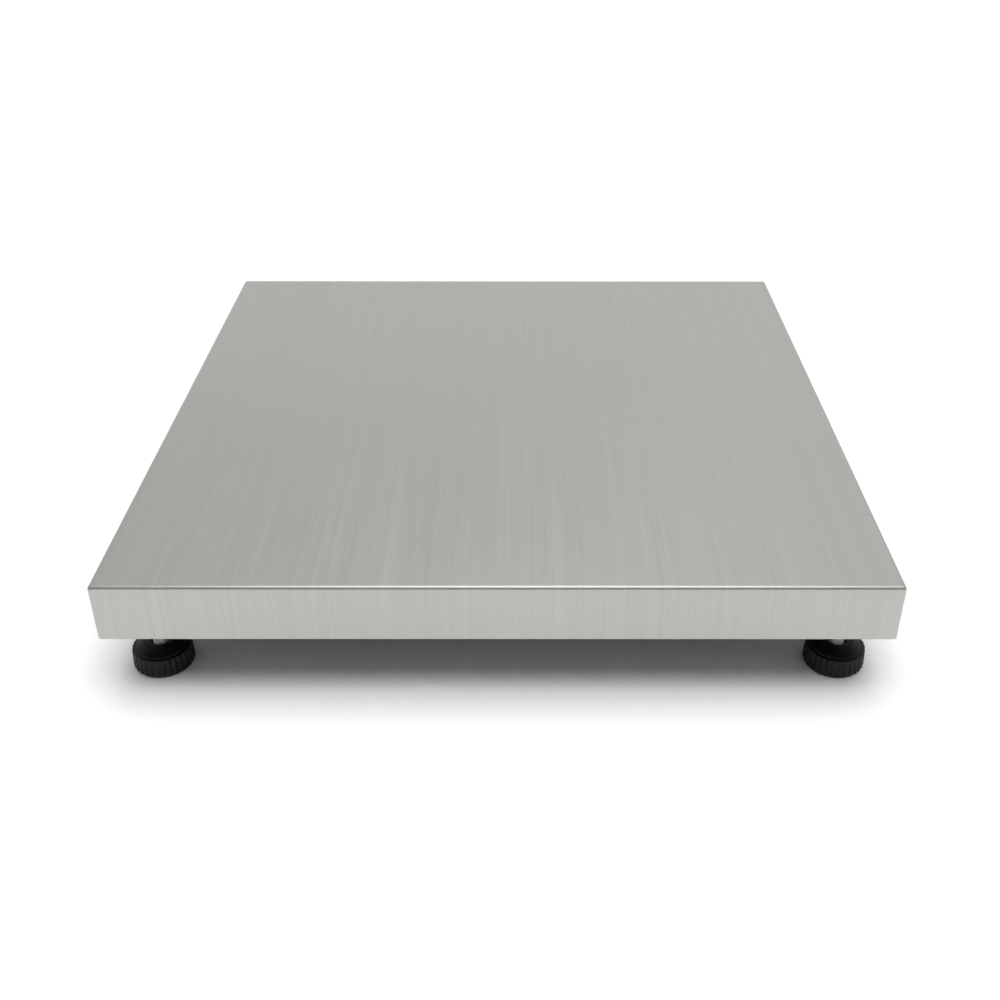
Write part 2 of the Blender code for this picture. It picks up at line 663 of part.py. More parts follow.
def build_socket(base):
    """The panel socket for the indicator's cord, on a tab of the left base rail."""
    tab_width = SOCKET_FROM_RAIL + socket_flange_radius + SOCKET_TAB_MARGIN - GAP
    tab_x = -(rail_inner_x - GAP) + tab_width / 2
    tab_low = socket_z - SOCKET_TAB_HEIGHT / 2
    tab_mesh = box_mesh("socket_tab", tab_width, TAB_THICKNESS, SOCKET_TAB_HEIGHT)
    tab_middle_y = socket_tab_y - TAB_THICKNESS / 2
    tab = new_piece("socket_tab", tab_mesh, painted_steel, base, (tab_x, tab_middle_y, tab_low))
    backwards = (-math.pi / 2, 0, 0)
    hole = rods_mesh("socket_hole", [(0, 0)], SOCKET_RADIUS + GAP, TAB_THICKNESS + 2 * CUT_LAP)
    hole_y = socket_tab_y - TAB_THICKNESS - CUT_LAP
    combine(tab, new_cutter("socket_hole", hole, (socket_x, hole_y, socket_z), backwards), "DIFFERENCE")
    bore = SOCKET_BARREL_RADIUS - SOCKET_WALL
    mouth = SOCKET_FLANGE + SOCKET_BARREL
    profile = [
        (0, mouth - SOCKET_RECESS),
        (bore, mouth - SOCKET_RECESS),
        (bore, mouth),
        (SOCKET_BARREL_RADIUS, mouth),
        (SOCKET_BARREL_RADIUS, SOCKET_FLANGE),
        (socket_flange_radius, SOCKET_FLANGE),
        (socket_flange_radius, 0),
        (SOCKET_RADIUS, 0),
        (SOCKET_RADIUS, -SOCKET_BODY),
        (lead_hole_radius, -SOCKET_BODY),
        (lead_hole_radius, -SOCKET_BODY + LEAD_HOLE_DEPTH),
        (0, -SOCKET_BODY + LEAD_HOLE_DEPTH),
    ]
    shell = baked_mesh(turned_piece("signal_socket", profile), "signal_socket")
    place = (socket_x, socket_tab_y + GAP, socket_z)
    new_piece("signal_socket", shell, nickel, base, place, backwards)
    nut_across = 2 * (SOCKET_RADIUS + SOCKET_NUT_WALL)
    nut = hex_nut_mesh("socket_nut", nut_across, SOCKET_NUT_HEIGHT, SOCKET_RADIUS + GAP)
    nut_y = socket_tab_y - TAB_THICKNESS - GAP - SOCKET_NUT_HEIGHT
    new_piece("socket_nut", nut, nickel, base, (socket_x, nut_y, socket_z), backwards)


def smooth_route(points, step, fineness=20):
    """Points a step apart along a smooth curve through the given ones."""
    route = [Vector(point) for point in points]
    route = [2 * route[0] - route[1], *route, 2 * route[-1] - route[-2]]
    fine = []
    for before, start, end, after in zip(route, route[1:], route[2:], route[3:]):
        for part in range(fineness):
            share = part / fineness
            bend = (end - before) * share + (2 * before - 5 * start + 4 * end - after) * share**2
            fine.append(start + (bend + (3 * start - before - 3 * end + after) * share**3) / 2)
    fine.append(route[-2])
    lengths = [0.0]
    for first, second in zip(fine, fine[1:]):
        lengths.append(lengths[-1] + (second - first).length)
    count = max(2, round(lengths[-1] / step))
    even = []
    for place in range(count + 1):
        wanted = lengths[-1] * place / count
        index = max(i for i, length in enumerate(lengths) if length <= wanted + 1e-9)
        index = min(index, len(fine) - 2)
        span = lengths[index + 1] - lengths[index]
        even.append(fine[index].lerp(fine[index + 1], (wanted - lengths[index]) / span))
    return even


def build_lead(base):
    """The load cell's lead, clipped under the rear cross rail and along the left base rail."""
    curve = bpy.data.curves.new("load_cell_lead", "CURVE")
    curve.dimensions = "3D"
    curve.bevel_depth = LEAD_RADIUS
    curve.bevel_resolution = 2
    curve.use_fill_caps = True
    curve.twist_mode = "MINIMUM"
    spline = curve.splines.new("POLY")
    route = smooth_route(LEAD_ROUTE, LEAD_STEP)
    spline.points.add(len(route) - 1)
    for point, place in zip(spline.points, route):
        point.co = (*place, 1)
    curve.materials.append(lead_jacket)
    lead = bpy.data.objects.new("load_cell_lead", curve)
    parts.objects.link(lead)
    hold(lead, base)


def clip_mesh():
    """A clip whose loop runs along Y and whose tab lies on top, with the tab's top at its origin."""
    loop_radius = lead_hole_radius + CLIP_WALL
    tab = bpy.data.objects.new("lead_clip", box_mesh("lead_clip", CLIP_TAB, CLIP_WIDTH, CLIP_WALL))
    tab.location.z = loop_radius - CLIP_WALL
    parts.objects.link(tab)
    upright = (math.pi / 2, 0, 0)
    loop = rods_mesh("clip_loop", [(0, 0)], loop_radius, CLIP_WIDTH, BOLT_SIDES)
    combine(tab, new_cutter("clip_loop", loop, (0, CLIP_WIDTH / 2, 0), upright), "UNION")
    hole = rods_mesh("clip_hole", [(0, 0)], lead_hole_radius, CLIP_WIDTH + 2 * CUT_LAP, BOLT_SIDES)
    hole_place = (0, CLIP_WIDTH / 2 + CUT_LAP, 0)
    combine(tab, new_cutter("clip_hole", hole, hole_place, upright), "DIFFERENCE")
    mesh = baked_mesh(tab, "lead_clip")
    mesh.transform(Matrix.Translation((0, 0, -CLIP_WALL)))
    return mesh


def build_clips(base):
    mesh = clip_mesh()
    under_cross = (CROSS_CLIP_X, cross_y, base_low - GAP)
    new_piece("lead_clip_cross", mesh, black_plastic, base, under_cross)
    beside_rail = (-(rail_inner_x - GAP), RAIL_CLIP_Y, socket_z)
    new_piece("lead_clip_rail", mesh, black_plastic, base, beside_rail, (0, -math.pi / 2, 0))


base_body = new_body("base")
platform_body = new_body("platform", base_body, (0, 0, platform_low))
pan_body = new_body("pan_body", platform_body, (0, 0, pan_under))
build_pan(pan_body)
build_pads(platform_body)
build_frames(base_body, platform_body)
build_cell_plates(base_body, platform_body)
build_load_cell(base_body)
build_cell_bolts(base_body, platform_body)
build_overload_stops(base_body)
build_feet(base_body)
build_level(base_body)
build_socket(base_body)
build_lead(base_body)
build_clips(base_body)
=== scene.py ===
import math

import bmesh
import bpy
from mathutils import Matrix, Vector


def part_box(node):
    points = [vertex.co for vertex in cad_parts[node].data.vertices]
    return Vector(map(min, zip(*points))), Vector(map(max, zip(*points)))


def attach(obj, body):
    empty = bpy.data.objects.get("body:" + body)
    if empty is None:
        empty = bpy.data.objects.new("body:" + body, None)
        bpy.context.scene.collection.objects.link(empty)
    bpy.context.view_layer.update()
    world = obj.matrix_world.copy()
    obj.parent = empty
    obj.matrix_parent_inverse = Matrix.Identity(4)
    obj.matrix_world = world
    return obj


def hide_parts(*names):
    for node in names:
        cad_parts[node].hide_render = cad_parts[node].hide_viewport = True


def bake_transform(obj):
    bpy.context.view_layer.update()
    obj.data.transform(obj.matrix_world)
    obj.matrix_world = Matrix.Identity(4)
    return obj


# Platform shipping scale: a loose stainless pan over a welded frame on one load cell.
# Metres throughout. X runs to the right, Y to the rear, Z up from the floor.

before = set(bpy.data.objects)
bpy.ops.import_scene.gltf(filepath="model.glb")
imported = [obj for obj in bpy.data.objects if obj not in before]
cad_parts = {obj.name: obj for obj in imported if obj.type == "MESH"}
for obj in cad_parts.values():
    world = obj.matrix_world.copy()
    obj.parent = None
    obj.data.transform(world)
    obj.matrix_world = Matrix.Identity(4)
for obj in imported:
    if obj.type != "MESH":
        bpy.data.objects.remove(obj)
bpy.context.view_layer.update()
corners = {
    "front_left": (-1, -1),
    "front_right": (1, -1),
    "rear_left": (-1, 1),
    "rear_right": (1, 1),
}
fullTurn = 2 * math.pi
quarterTurn = math.pi / 2
near = 1e-5  # closer than this is the same place
mostly = 0.9  # a direction or length counts when its share is above this
past = 0.001  # how far a cutter reaches beyond the surface it cuts
play = 0.0001  # between a thread and what turns on it


# camera, floor and light

cameraValues = {
    "place": (0.01272, -0.83916, 0.51145),
    "lookDown": 32.185,  # degrees below level
    "turn": -0.104,
    "roll": 0.080,
    "lens": 43.07,
    "sensor": 36,
    "shift": (-0.020, 0.00585),
    "nearest": 0.01,
}


def placeCamera(values):
    bpy.ops.object.camera_add(location=values["place"])
    camera = bpy.context.object
    camera.name = "studioCamera"
    turn = Matrix.Rotation(math.radians(values["turn"]), 4, "Z")
    tilt = Matrix.Rotation(math.radians(90 - values["lookDown"]), 4, "X")
    roll = Matrix.Rotation(math.radians(values["roll"]), 4, "Z")
    camera.rotation_euler = (turn @ tilt @ roll).to_euler()
    camera.data.lens = values["lens"]
    camera.data.sensor_width = values["sensor"]
    camera.data.shift_x, camera.data.shift_y = values["shift"]
    camera.data.clip_start = values["nearest"]
    bpy.context.scene.camera = camera


placeCamera(cameraValues)
print("camera placed")


def clearSelection():
    if bpy.context.object and bpy.context.object.mode == "EDIT":
        bpy.ops.object.mode_set(mode="OBJECT")
    bpy.ops.object.select_all(action="DESELECT")


def makeActive(piece):
    clearSelection()
    piece.select_set(True)
    bpy.context.view_layer.objects.active = piece


def settle(name):
    # the newest object gets its name, and its place goes into its mesh
    piece = bpy.context.object
    piece.name = piece.data.name = name
    makeActive(piece)
    bpy.ops.object.transform_apply(location=True, rotation=True, scale=True)
    return piece


def addBlock(name, low, high):
    clearSelection()
    low, high = Vector(low), Vector(high)
    bpy.ops.mesh.primitive_cube_add(size=1, location=(low + high) / 2, scale=high - low)
    return settle(name)


def addRod(name, place, radius, depth, sides=48, axis="Z"):
    clearSelection()
    tilt = {"Y": (quarterTurn, 0, 0), "Z": (0, 0, 0)}[axis]
    bpy.ops.mesh.primitive_cylinder_add(
        vertices=sides, radius=radius, depth=depth, location=place, rotation=tilt
    )
    return settle(name)


def startEdit(piece):
    makeActive(piece)
    bpy.ops.object.mode_set(mode="EDIT")


def endEdit():
    bpy.ops.object.mode_set(mode="OBJECT")


def selectAll():
    bpy.ops.mesh.select_all(action="SELECT")


def closeEdit():
    # every face is turned outwards first
    selectAll()
    bpy.ops.mesh.normals_make_consistent(inside=False)
    endEdit()


def pick(kind, test):
    # selects corners, edges or faces of the piece in edit mode by where they are
    mesh = bpy.context.object.data
    bpy.ops.mesh.select_mode(type=kind)
    bpy.ops.mesh.select_all(action="DESELECT")
    work = bmesh.from_edit_mesh(mesh)
    for part in {"VERT": work.verts, "EDGE": work.edges, "FACE": work.faces}[kind]:
        if kind == "VERT":
            wanted = test(part.co)
        elif kind == "EDGE":
            first, last = (corner.co for corner in part.verts)
            wanted = test((first + last) / 2, last - first)
        else:
            wanted = test(part.calc_center_median(), part.normal)
        if wanted:
            part.select_set(True)
    work.select_flush_mode()
    bmesh.update_edit_mesh(mesh)


def bevelPicked(width, segments):
    bpy.ops.mesh.bevel(offset=width, segments=segments, affect="EDGES")


def extrudeCorner(step):
    bpy.ops.mesh.extrude_vertices_move(TRANSFORM_OT_translate={"value": step})


def extrudeFace(step):
    bpy.ops.mesh.extrude_region_move(TRANSFORM_OT_translate={"value": step})


def useModifier(piece, kind, **values):
    makeActive(piece)
    modifier = piece.modifiers.new(kind.lower(), kind)
    for key, value in values.items():
        setattr(modifier, key, value)
    bpy.ops.object.modifier_apply(modifier=modifier.name)


def roundEdges(piece, width, segments=2, angle=30):
    useModifier(
        piece,
        "BEVEL",
        width=width,
        segments=segments,
        limit_method="ANGLE",
        angle_limit=math.radians(angle),
        harden_normals=False,
    )


def combine(piece, other, operation):
    useModifier(piece, "BOOLEAN", object=other, operation=operation, solver="EXACT")
    bpy.data.objects.remove(other)


def joinPieces(name, pieces):
    clearSelection()
    for piece in pieces:
        piece.select_set(True)
    bpy.context.view_layer.objects.active = pieces[0]
    bpy.ops.object.join()
    joined = bpy.context.object
    joined.name = joined.data.name = name
    return joined


def setDown(piece, name, shift, turned=None):
    # names a piece, turns it about its own middle and moves it to its place
    piece.name = piece.data.name = name
    turned = turned.to_4x4() if turned else Matrix.Identity(4)
    piece.data.transform(Matrix.Translation(shift) @ turned)
    return piece


def copyPiece(piece, name, shift=(0, 0, 0), turned=None):
    twin = piece.copy()
    twin.data = piece.data.copy()
    bpy.context.collection.objects.link(twin)
    return setDown(twin, name, shift, turned)


def dropPiece(piece):
    bpy.data.objects.remove(piece)


def startPoint(name, place):
    # one corner in edit mode, from which an outline is drawn
    clearSelection()
    bpy.ops.mesh.primitive_plane_add(size=0.001, location=place)
    piece = settle(name)
    startEdit(piece)
    bpy.ops.mesh.select_mode(type="VERT")
    selectAll()
    bpy.ops.mesh.merge(type="CENTER")
    return piece


def spinOutline(name, outline, sides=64):
    # half the section is drawn corner by corner, then spun about Z
    radius, height = outline[0]
    piece = startPoint(name, (radius, 0, height))
    for (radius, height), (nextRadius, nextHeight) in zip(outline, outline[1:]):
        extrudeCorner((nextRadius - radius, 0, nextHeight - height))
    selectAll()
    bpy.ops.mesh.spin(steps=sides, angle=fullTurn, center=(0, 0, 0), axis=(0, 0, 1))
    selectAll()
    bpy.ops.mesh.remove_doubles(threshold=1e-6)
    closeEdit()
    return piece


def arcPoints(middle, radius, start, end, steps):
    # points along a fillet in a spun outline, angles in degrees from outwards
    x, z = middle
    turned = [math.radians(start + (end - start) * step / steps) for step in range(steps + 1)]
    return [(x + radius * math.cos(a), z + radius * math.sin(a)) for a in turned]


def drillOut(piece, outline, sides, spot=(0, 0, 0), turned=None):
    # cuts away the shape that the outline spins to
    drill = setDown(spinOutline("drill", outline, sides), "drill", spot, turned)
    combine(piece, drill, "DIFFERENCE")


def middleOf(node):
    low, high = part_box(node)
    return (low + high) / 2


def radiusOf(node):
    low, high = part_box(node)
    return (high.x - low.x) / 2


def heightOf(node):
    low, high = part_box(node)
    return high.z - low.z


# finishes

finishes = {}


def addNode(tree, kind, inputs=None, **settings):
    node = tree.nodes.new("ShaderNode" + kind)
    for key, value in settings.items():
        setattr(node, key, value)
    for key, value in (inputs or {}).items():
        if isinstance(value, bpy.types.NodeSocket):
            tree.links.new(value, node.inputs[key])
        else:
            node.inputs[key].default_value = value
    return node


def newFinish(name, sockets):
    finish = bpy.data.materials.new(name)
    finish.use_nodes = True
    shader = finish.node_tree.nodes["Principled BSDF"]
    for key, value in sockets.items():
        shader.inputs[key].default_value = value
    finishes[name] = finish
    return finish.node_tree, shader


def objectPlace(tree, stretch=(1, 1, 1)):
    place = addNode(tree, "TexCoord").outputs["Object"]
    return addNode(tree, "Mapping", {"Vector": place, "Scale": stretch}).outputs["Vector"]


def noiseOn(tree, vector, scale, detail=3.0, rough=0.5):
    inputs = {"Vector": vector, "Scale": scale, "Detail": detail, "Roughness": rough}
    return addNode(tree, "TexNoise", inputs).outputs["Fac"]


def spread(tree, value, low, high, start=0.3, end=0.7):
    inputs = {"Value": value, "From Min": start, "From Max": end, "To Min": low, "To Max": high}
    return addNode(tree, "MapRange", inputs).outputs["Result"]


def addUp(tree, first, second, share):
    # the first pattern with a share of the second mixed in
    return addNode(tree, "Mix", {0: share, 2: first, 3: second}).outputs[0]


def colourBy(tree, shader, pattern, first, second):
    inputs = {0: spread(tree, pattern, 0, 1), 6: first, 7: second}
    colour = addNode(tree, "Mix", inputs, data_type="RGBA").outputs[2]
    tree.links.new(colour, shader.inputs["Base Color"])


def roughenBy(tree, shader, pattern, limits):
    tree.links.new(spread(tree, pattern, *limits), shader.inputs["Roughness"])


def addBump(tree, shader, height, strength, distance):
    inputs = {"Height": height, "Strength": strength, "Distance": distance}
    tree.links.new(addNode(tree, "Bump", inputs).outputs["Normal"], shader.inputs["Normal"])


def grey(level, warm=0.0):
    return (level * (1 + warm), level, level * (1 - warm), 1)


def shadesOf(colour, dark, light):
    return [[part * share for part in colour] + [1] for share in (dark, light)]


def finishPiece(piece, body, slotName, node=None, finish=None, smoothBelow=35):
    piece.data.materials.clear()
    piece.data.materials.append(finishes[finish or slotName])
    makeActive(piece)
    bpy.ops.object.shade_smooth_by_angle(angle=math.radians(smoothBelow))
    if node:
        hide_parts(node)
    if body:
        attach(piece, body)


def copyToCorners(model, name, node, body, slotName, height=0, turnStep=0, turnStart=0):
    # a copy stands for the node at each corner, each turned a little further
    for index, corner in enumerate(corners):
        middle = middleOf(f"{node}_{corner}")
        turned = Matrix.Rotation(math.radians(turnStart + turnStep * index), 3, "Z")
        piece = copyPiece(model, f"{name}_{corner}", (middle.x, middle.y, height), turned)
        finishPiece(piece, body.format(corner), slotName, f"{node}_{corner}")
    dropPiece(model)


stageValues = {
    "floorSize": 40.0,
    "floorWhite": 0.94,
    "floorRoughness": 0.9,
    "backdropWhite": 1.0,
    "skyFront": 0.35,  # the room's light before the scale, and behind it
    "skyBack": 0.91,
    "sunHeight": 3,
    "sunStrength": 2.55,
    "glintStrength": 1.5,  # what the bright metal shows of the overhead light
    "sunSoftness": 56,  # degrees across, for soft shadows
    "sunTilt": (0, 3, 0),
    "panelSize": 1.6,
    "panelPower": 0.8,
    "panelPlace": (0.9, 1.3, 1.5),
}


def buildSky(values):
    world = bpy.data.worlds.new("studio")
    bpy.context.scene.world = world
    world.use_nodes = True
    tree = world.node_tree
    room = tree.nodes["Background"]
    room.inputs["Color"].default_value = (1, 1, 1, 1)
    compass = addNode(tree, "TexCoord").outputs["Generated"]
    back = addNode(tree, "SeparateXYZ", {"Vector": compass}).outputs["Y"]
    shade = spread(tree, back, values["skyFront"], values["skyBack"], 0, 1)
    tree.links.new(shade, room.inputs["Strength"])
    inputs = {"Color": (1, 1, 1, 1), "Strength": values["backdropWhite"]}
    backdrop = addNode(tree, "Background", inputs).outputs["Background"]
    seen = addNode(tree, "LightPath").outputs["Is Camera Ray"]
    whole = addNode(tree, "MixShader", {0: seen, 1: room.outputs["Background"], 2: backdrop})
    tree.links.new(whole.outputs["Shader"], tree.nodes["World Output"].inputs["Surface"])


def buildStage(values):
    bpy.context.scene.view_settings.view_transform = "Standard"
    buildSky(values)

    # two overhead lights: one for diffuse surfaces, a weaker one for the metal's gloss
    for name, strength in (("overheadLight", "sunStrength"), ("overheadGlint", "glintStrength")):
        bpy.ops.object.light_add(type="SUN", location=(0, 0, values["sunHeight"]))
        sun = bpy.context.object
        sun.name = name
        sun.rotation_euler = [math.radians(angle) for angle in values["sunTilt"]]
        sun.data.energy = values[strength]
        sun.data.angle = math.radians(values["sunSoftness"])
        sun.visible_glossy = name == "overheadGlint"
        sun.visible_diffuse = name == "overheadLight"

    bpy.ops.object.light_add(type="AREA", location=values["panelPlace"])
    panel = bpy.context.object
    panel.name = "softPanel"
    panel.data.size = values["panelSize"]
    panel.data.energy = values["panelPower"]
    panel.rotation_euler = (-Vector(values["panelPlace"])).to_track_quat("-Z", "Y").to_euler()

    tree, shader = newFinish("studioFloor", {"Roughness": values["floorRoughness"]})
    white = values["floorWhite"]
    colourBy(tree, shader, noiseOn(tree, objectPlace(tree), 3.0), grey(white), grey(white * 0.995))
    clearSelection()
    bpy.ops.mesh.primitive_plane_add(size=values["floorSize"], location=(0, 0, 0))
    floor = settle("studioFloor")
    floor.data.materials.append(finishes["studioFloor"])


buildStage(stageValues)
print("stage lit")


# Cloud colours a finish between two tones, skin is its fine texture, and each is the waves
# per metre, detail and roughness of its noise. A bump is a strength and a depth.

finishValues = {
    "black_plastic": {
        "sockets": {"IOR": 1.5, "Specular IOR Level": 0.24},
        "tones": (grey(0.0044, 0.06), grey(0.007425, 0.06)),
        "cloud": (90, 3),
        "roughness": (0.34, 0.48),
        "skin": (2600, 2),
        "bump": (0.25, 0.00008),
    },
    "black_rubber": {
        "sockets": {"IOR": 1.5},
        "tones": (grey(0.016), grey(0.0272, 0.05)),
        "cloud": (60, 4),
        "skin": (1500, 3, 0.7),
        "skinRoughness": (0.70, 0.88),
        "bump": (0.4, 0.0001),
    },
    "painted_steel": {
        "sockets": {"IOR": 1.48},
        "tones": (grey(0.04472, -0.02), grey(0.05824, -0.02)),
        "cloud": (22, 3),
        "skin": (520, 2, 0.4),
        "skinRoughness": (0.40, 0.52),
        "bump": (0.35, 0.0002),
    },
    "silicone": {
        "sockets": {
            "Roughness": 0.5,
            "IOR": 1.42,
            "Subsurface Weight": 0.25,
            "Subsurface Scale": 0.003,
        },
        "tones": shadesOf((0.74, 0.73, 0.68), 0.86, 1),
        "cloud": (260, 3),
        "bump": (0.5, 0.0006),
    },
    "nickel": {
        "sockets": {"Metallic": 1.0},
        "tones": shadesOf((0.63, 0.61, 0.57), 0.93, 1.05),
        "cloud": (260, 5, 0.6),
        "roughness": (0.16, 0.32),
        "skin": (3000, 2),
        "bump": (0.08, 0.00005),
    },
    "gold_contact": {
        "sockets": {"Metallic": 1.0},
        "tones": shadesOf((0.83, 0.60, 0.25), 0.9, 1.05),
        "cloud": (900, 3),
        "roughness": (0.18, 0.30),
    },
    "level_glass": {
        "sockets": {"IOR": 1.49, "Transmission Weight": 1.0},
        "tones": ((0.96, 0.98, 0.93, 1), (1, 1, 0.98, 1)),
        "cloud": (700, 2),
        "roughness": (0.015, 0.05),
    },
    "level_fluid": {
        "sockets": {"Roughness": 0.12, "IOR": 1.36},
        "tones": ((0.22, 0.45, 0.03, 1), (0.36, 0.60, 0.045, 1)),
        "cloud": (180, 2),
    },
    "level_bubble": {
        "sockets": {"Roughness": 0.08, "IOR": 1.4},
        "tones": ((0.60, 0.80, 0.22, 1), (0.70, 0.88, 0.34, 1)),
        "cloud": (500, 2),
    },
    "lead_jacket": {
        "sockets": {"IOR": 1.5},
        "tones": (grey(0.030, -0.02), grey(0.050, -0.02)),
        "cloud": (80, 4),
        "roughness": (0.42, 0.60),
        "skin": (1400, 2),
        "bump": (0.2, 0.0001),
    },
}


def makeFinish(name, values):
    tree, shader = newFinish(name, values["sockets"])
    cloud = skin = noiseOn(tree, objectPlace(tree), *values["cloud"])
    if "skin" in values:
        skin = noiseOn(tree, objectPlace(tree), *values["skin"])
    colourBy(tree, shader, cloud, *values["tones"])
    if "roughness" in values:
        roughenBy(tree, shader, cloud, values["roughness"])
    if "skinRoughness" in values:
        roughenBy(tree, shader, skin, values["skinRoughness"])
    if "bump" in values:
        addBump(tree, shader, skin, *values["bump"])


for finishName, values in finishValues.items():
    makeFinish(finishName, values)


steelValues = {
    "colour": (0.462, 0.458, 0.437),
    "grainDepth": 0.085,  # how far the brushing darkens and lightens the sheet
    "roughness": (0.32, 0.43),
    "strokes": (1500, 18, 1),  # waves per metre across and along the brushing
    "lines": (560, 2.4, 1),
    "bands": (170, 3, 1),
    "cloud": (7, 2),
    "bump": (0.12, 0.0002),
}
zincValues = {
    "warm": (0.612, 0.594, 0.5148, 1),
    "cool": (0.54, 0.57, 0.5967, 1),
    "spangle": 420,
    "cloud": (140, 4),
    "cloudShare": 0.6,
    "roughness": (0.26, 0.44),
    "bump": (0.15, 0.0001),
}
aluminiumValues = {
    "tones": shadesOf((0.66, 0.67, 0.69), 0.90, 1.07),
    "milling": (60, 1900, 1900),
    "cloud": (45, 4),
    "cloudShare": 0.45,
    "roughness": (0.28, 0.42),
    "bump": (0.15, 0.0001),
}


def makeBrushedSteel(values):
    tree, shader = newFinish("brushed_stainless", {"Metallic": 1.0})
    sheet = addNode(tree, "UVMap", uv_map="blank").outputs["UV"]

    def brushed(stretch, detail, rough=0.5):
        mapping = addNode(tree, "Mapping", {"Vector": sheet, "Scale": values[stretch]})
        return noiseOn(tree, mapping.outputs["Vector"], 1.0, detail, rough)

    fine, broad, scratch = brushed("strokes", 2), brushed("bands", 4, 0.6), brushed("lines", 3, 0.7)
    cloud = noiseOn(tree, sheet, *values["cloud"])
    grain = addUp(tree, fine, broad, 0.5)
    shade = addUp(tree, addUp(tree, grain, cloud, 0.2), scratch, 0.45)
    depth = values["grainDepth"]
    colourBy(tree, shader, shade, *shadesOf(values["colour"], 1 - depth, 1 + depth))
    roughenBy(tree, shader, grain, values["roughness"])
    addBump(tree, shader, fine, *values["bump"])


def makeZinc(values):
    tree, shader = newFinish("zinc_steel", {"Metallic": 1.0})
    place = objectPlace(tree)
    spangle = addNode(tree, "TexVoronoi", {"Vector": place, "Scale": values["spangle"]})
    cloud = noiseOn(tree, place, *values["cloud"])
    mixed = addUp(tree, spangle.outputs["Distance"], cloud, values["cloudShare"])
    colourBy(tree, shader, mixed, values["warm"], values["cool"])
    roughenBy(tree, shader, cloud, values["roughness"])
    addBump(tree, shader, mixed, *values["bump"])


def makeAluminium(values):
    tree, shader = newFinish("cell_aluminium", {"Metallic": 1.0})
    milled = noiseOn(tree, objectPlace(tree, values["milling"]), 1.0, 2.0)
    cloud = noiseOn(tree, objectPlace(tree), *values["cloud"])
    mixed = addUp(tree, milled, cloud, values["cloudShare"])
    colourBy(tree, shader, mixed, *values["tones"])
    roughenBy(tree, shader, mixed, values["roughness"])
    addBump(tree, shader, milled, *values["bump"])


makeBrushedSteel(steelValues)
makeZinc(zincValues)
makeAluminium(aluminiumValues)
print("finishes mixed")


# the pan: a square sheet folded down on four sides

panValues = {
    "sheet": 0.0012,
    "foldRadius": 0.0024,
    "cornerRadius": 0.0016,
    "foldSteps": 6,
    "edgeBreak": 0.0002,
}


def markBlank(pan, topZ):
    # lays the folded sheet out flat, so that the brushing runs over the folds
    blank = pan.data.uv_layers.new(name="blank")
    pan.data.uv_layers.active = blank
    for face in pan.data.polygons:
        isSide = abs(face.normal.x) > abs(face.normal.y)
        for corner in face.loop_indices:
            x, y, z = pan.data.vertices[pan.data.loops[corner].vertex_index].co
            if isSide:
                x += math.copysign(topZ - z, x)
            else:
                y += math.copysign(topZ - z, y)
            blank.data[corner].uv = (x, y)


def buildPan(values):
    low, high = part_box("pan")
    fold, edgeBreak = values["foldRadius"], values["edgeBreak"]
    upright = (high.z - low.z) * mostly
    pan = addBlock("weighing_pan", low, high)
    startEdit(pan)
    pick("FACE", lambda middle, normal: normal.z < -mostly)
    bpy.ops.mesh.delete(type="ONLY_FACE")
    pick("EDGE", lambda middle, run: middle.z > high.z - near)
    bpy.ops.transform.edge_bevelweight(value=1)
    pick("EDGE", lambda middle, run: abs(run.z) > upright)
    bpy.ops.transform.edge_bevelweight(value=values["cornerRadius"] / fold)
    endEdit()
    useModifier(pan, "BEVEL", width=fold, segments=values["foldSteps"], limit_method="WEIGHT")
    useModifier(pan, "SOLIDIFY", thickness=values["sheet"], offset=-1, use_even_offset=True)
    startEdit(pan)
    pick("FACE", lambda middle, normal: normal.z < -mostly and middle.z < low.z + near)
    bpy.ops.transform.translate(value=(0, 0, edgeBreak))
    bpy.ops.mesh.inset(thickness=edgeBreak, depth=edgeBreak)
    endEdit()
    markBlank(pan, high.z)
    finishPiece(pan, "pan", "brushed_stainless", "pan")


buildPan(panValues)
print("pan folded")


# the four levelling feet: fluted knob, rubber tread, threaded stud and lock nut

footValues = {
    "seatRadius": 0.0053,
    "seatRise": 0.0051,
    "collarRadius": 0.0078,
    "collarRise": 0.0004,
    "collarEdge": 0.0004,
    "domeStart": 0.0030,  # from the seat out
    "domeDrop": 0.0020,
    "domeSteps": 7,
    "shoulder": 0.0029,  # from the band in to the dome
    "shoulderDrop": 0.0033,
    "fillet": 0.0008,
    "taper": 0.0006,
    "rim": 0.0015,
    "wall": 0.0012,
    "underside": 0.0033,
    "postRadius": 0.0060,
    "flutes": 30,
    "cornersPerFlute": 8,
    "fluteReach": 0.0011,
    "fluteDepths": (0.00095, 0.00078, 0.00034, 0.00006),
    "treadHole": 0.0063,
    "treadEdge": 0.0007,
    "treadGrooves": (0.0095, 0.0125, 0.0155),
    "grooveDepth": 0.0007,
    "grooveWidth": 0.0008,
    "grooveTaper": 0.6,
    "pitch": 0.0015,
    "threadDepth": 0.00085,
    "nutAcross": 0.017,
    "turnStep": 37,  # degrees from one foot's stud to the next
}
threadShape = ((0, 0.14), (1, 0.33), (0, 0.20), (-1, 0.33))  # depths out and pitches up


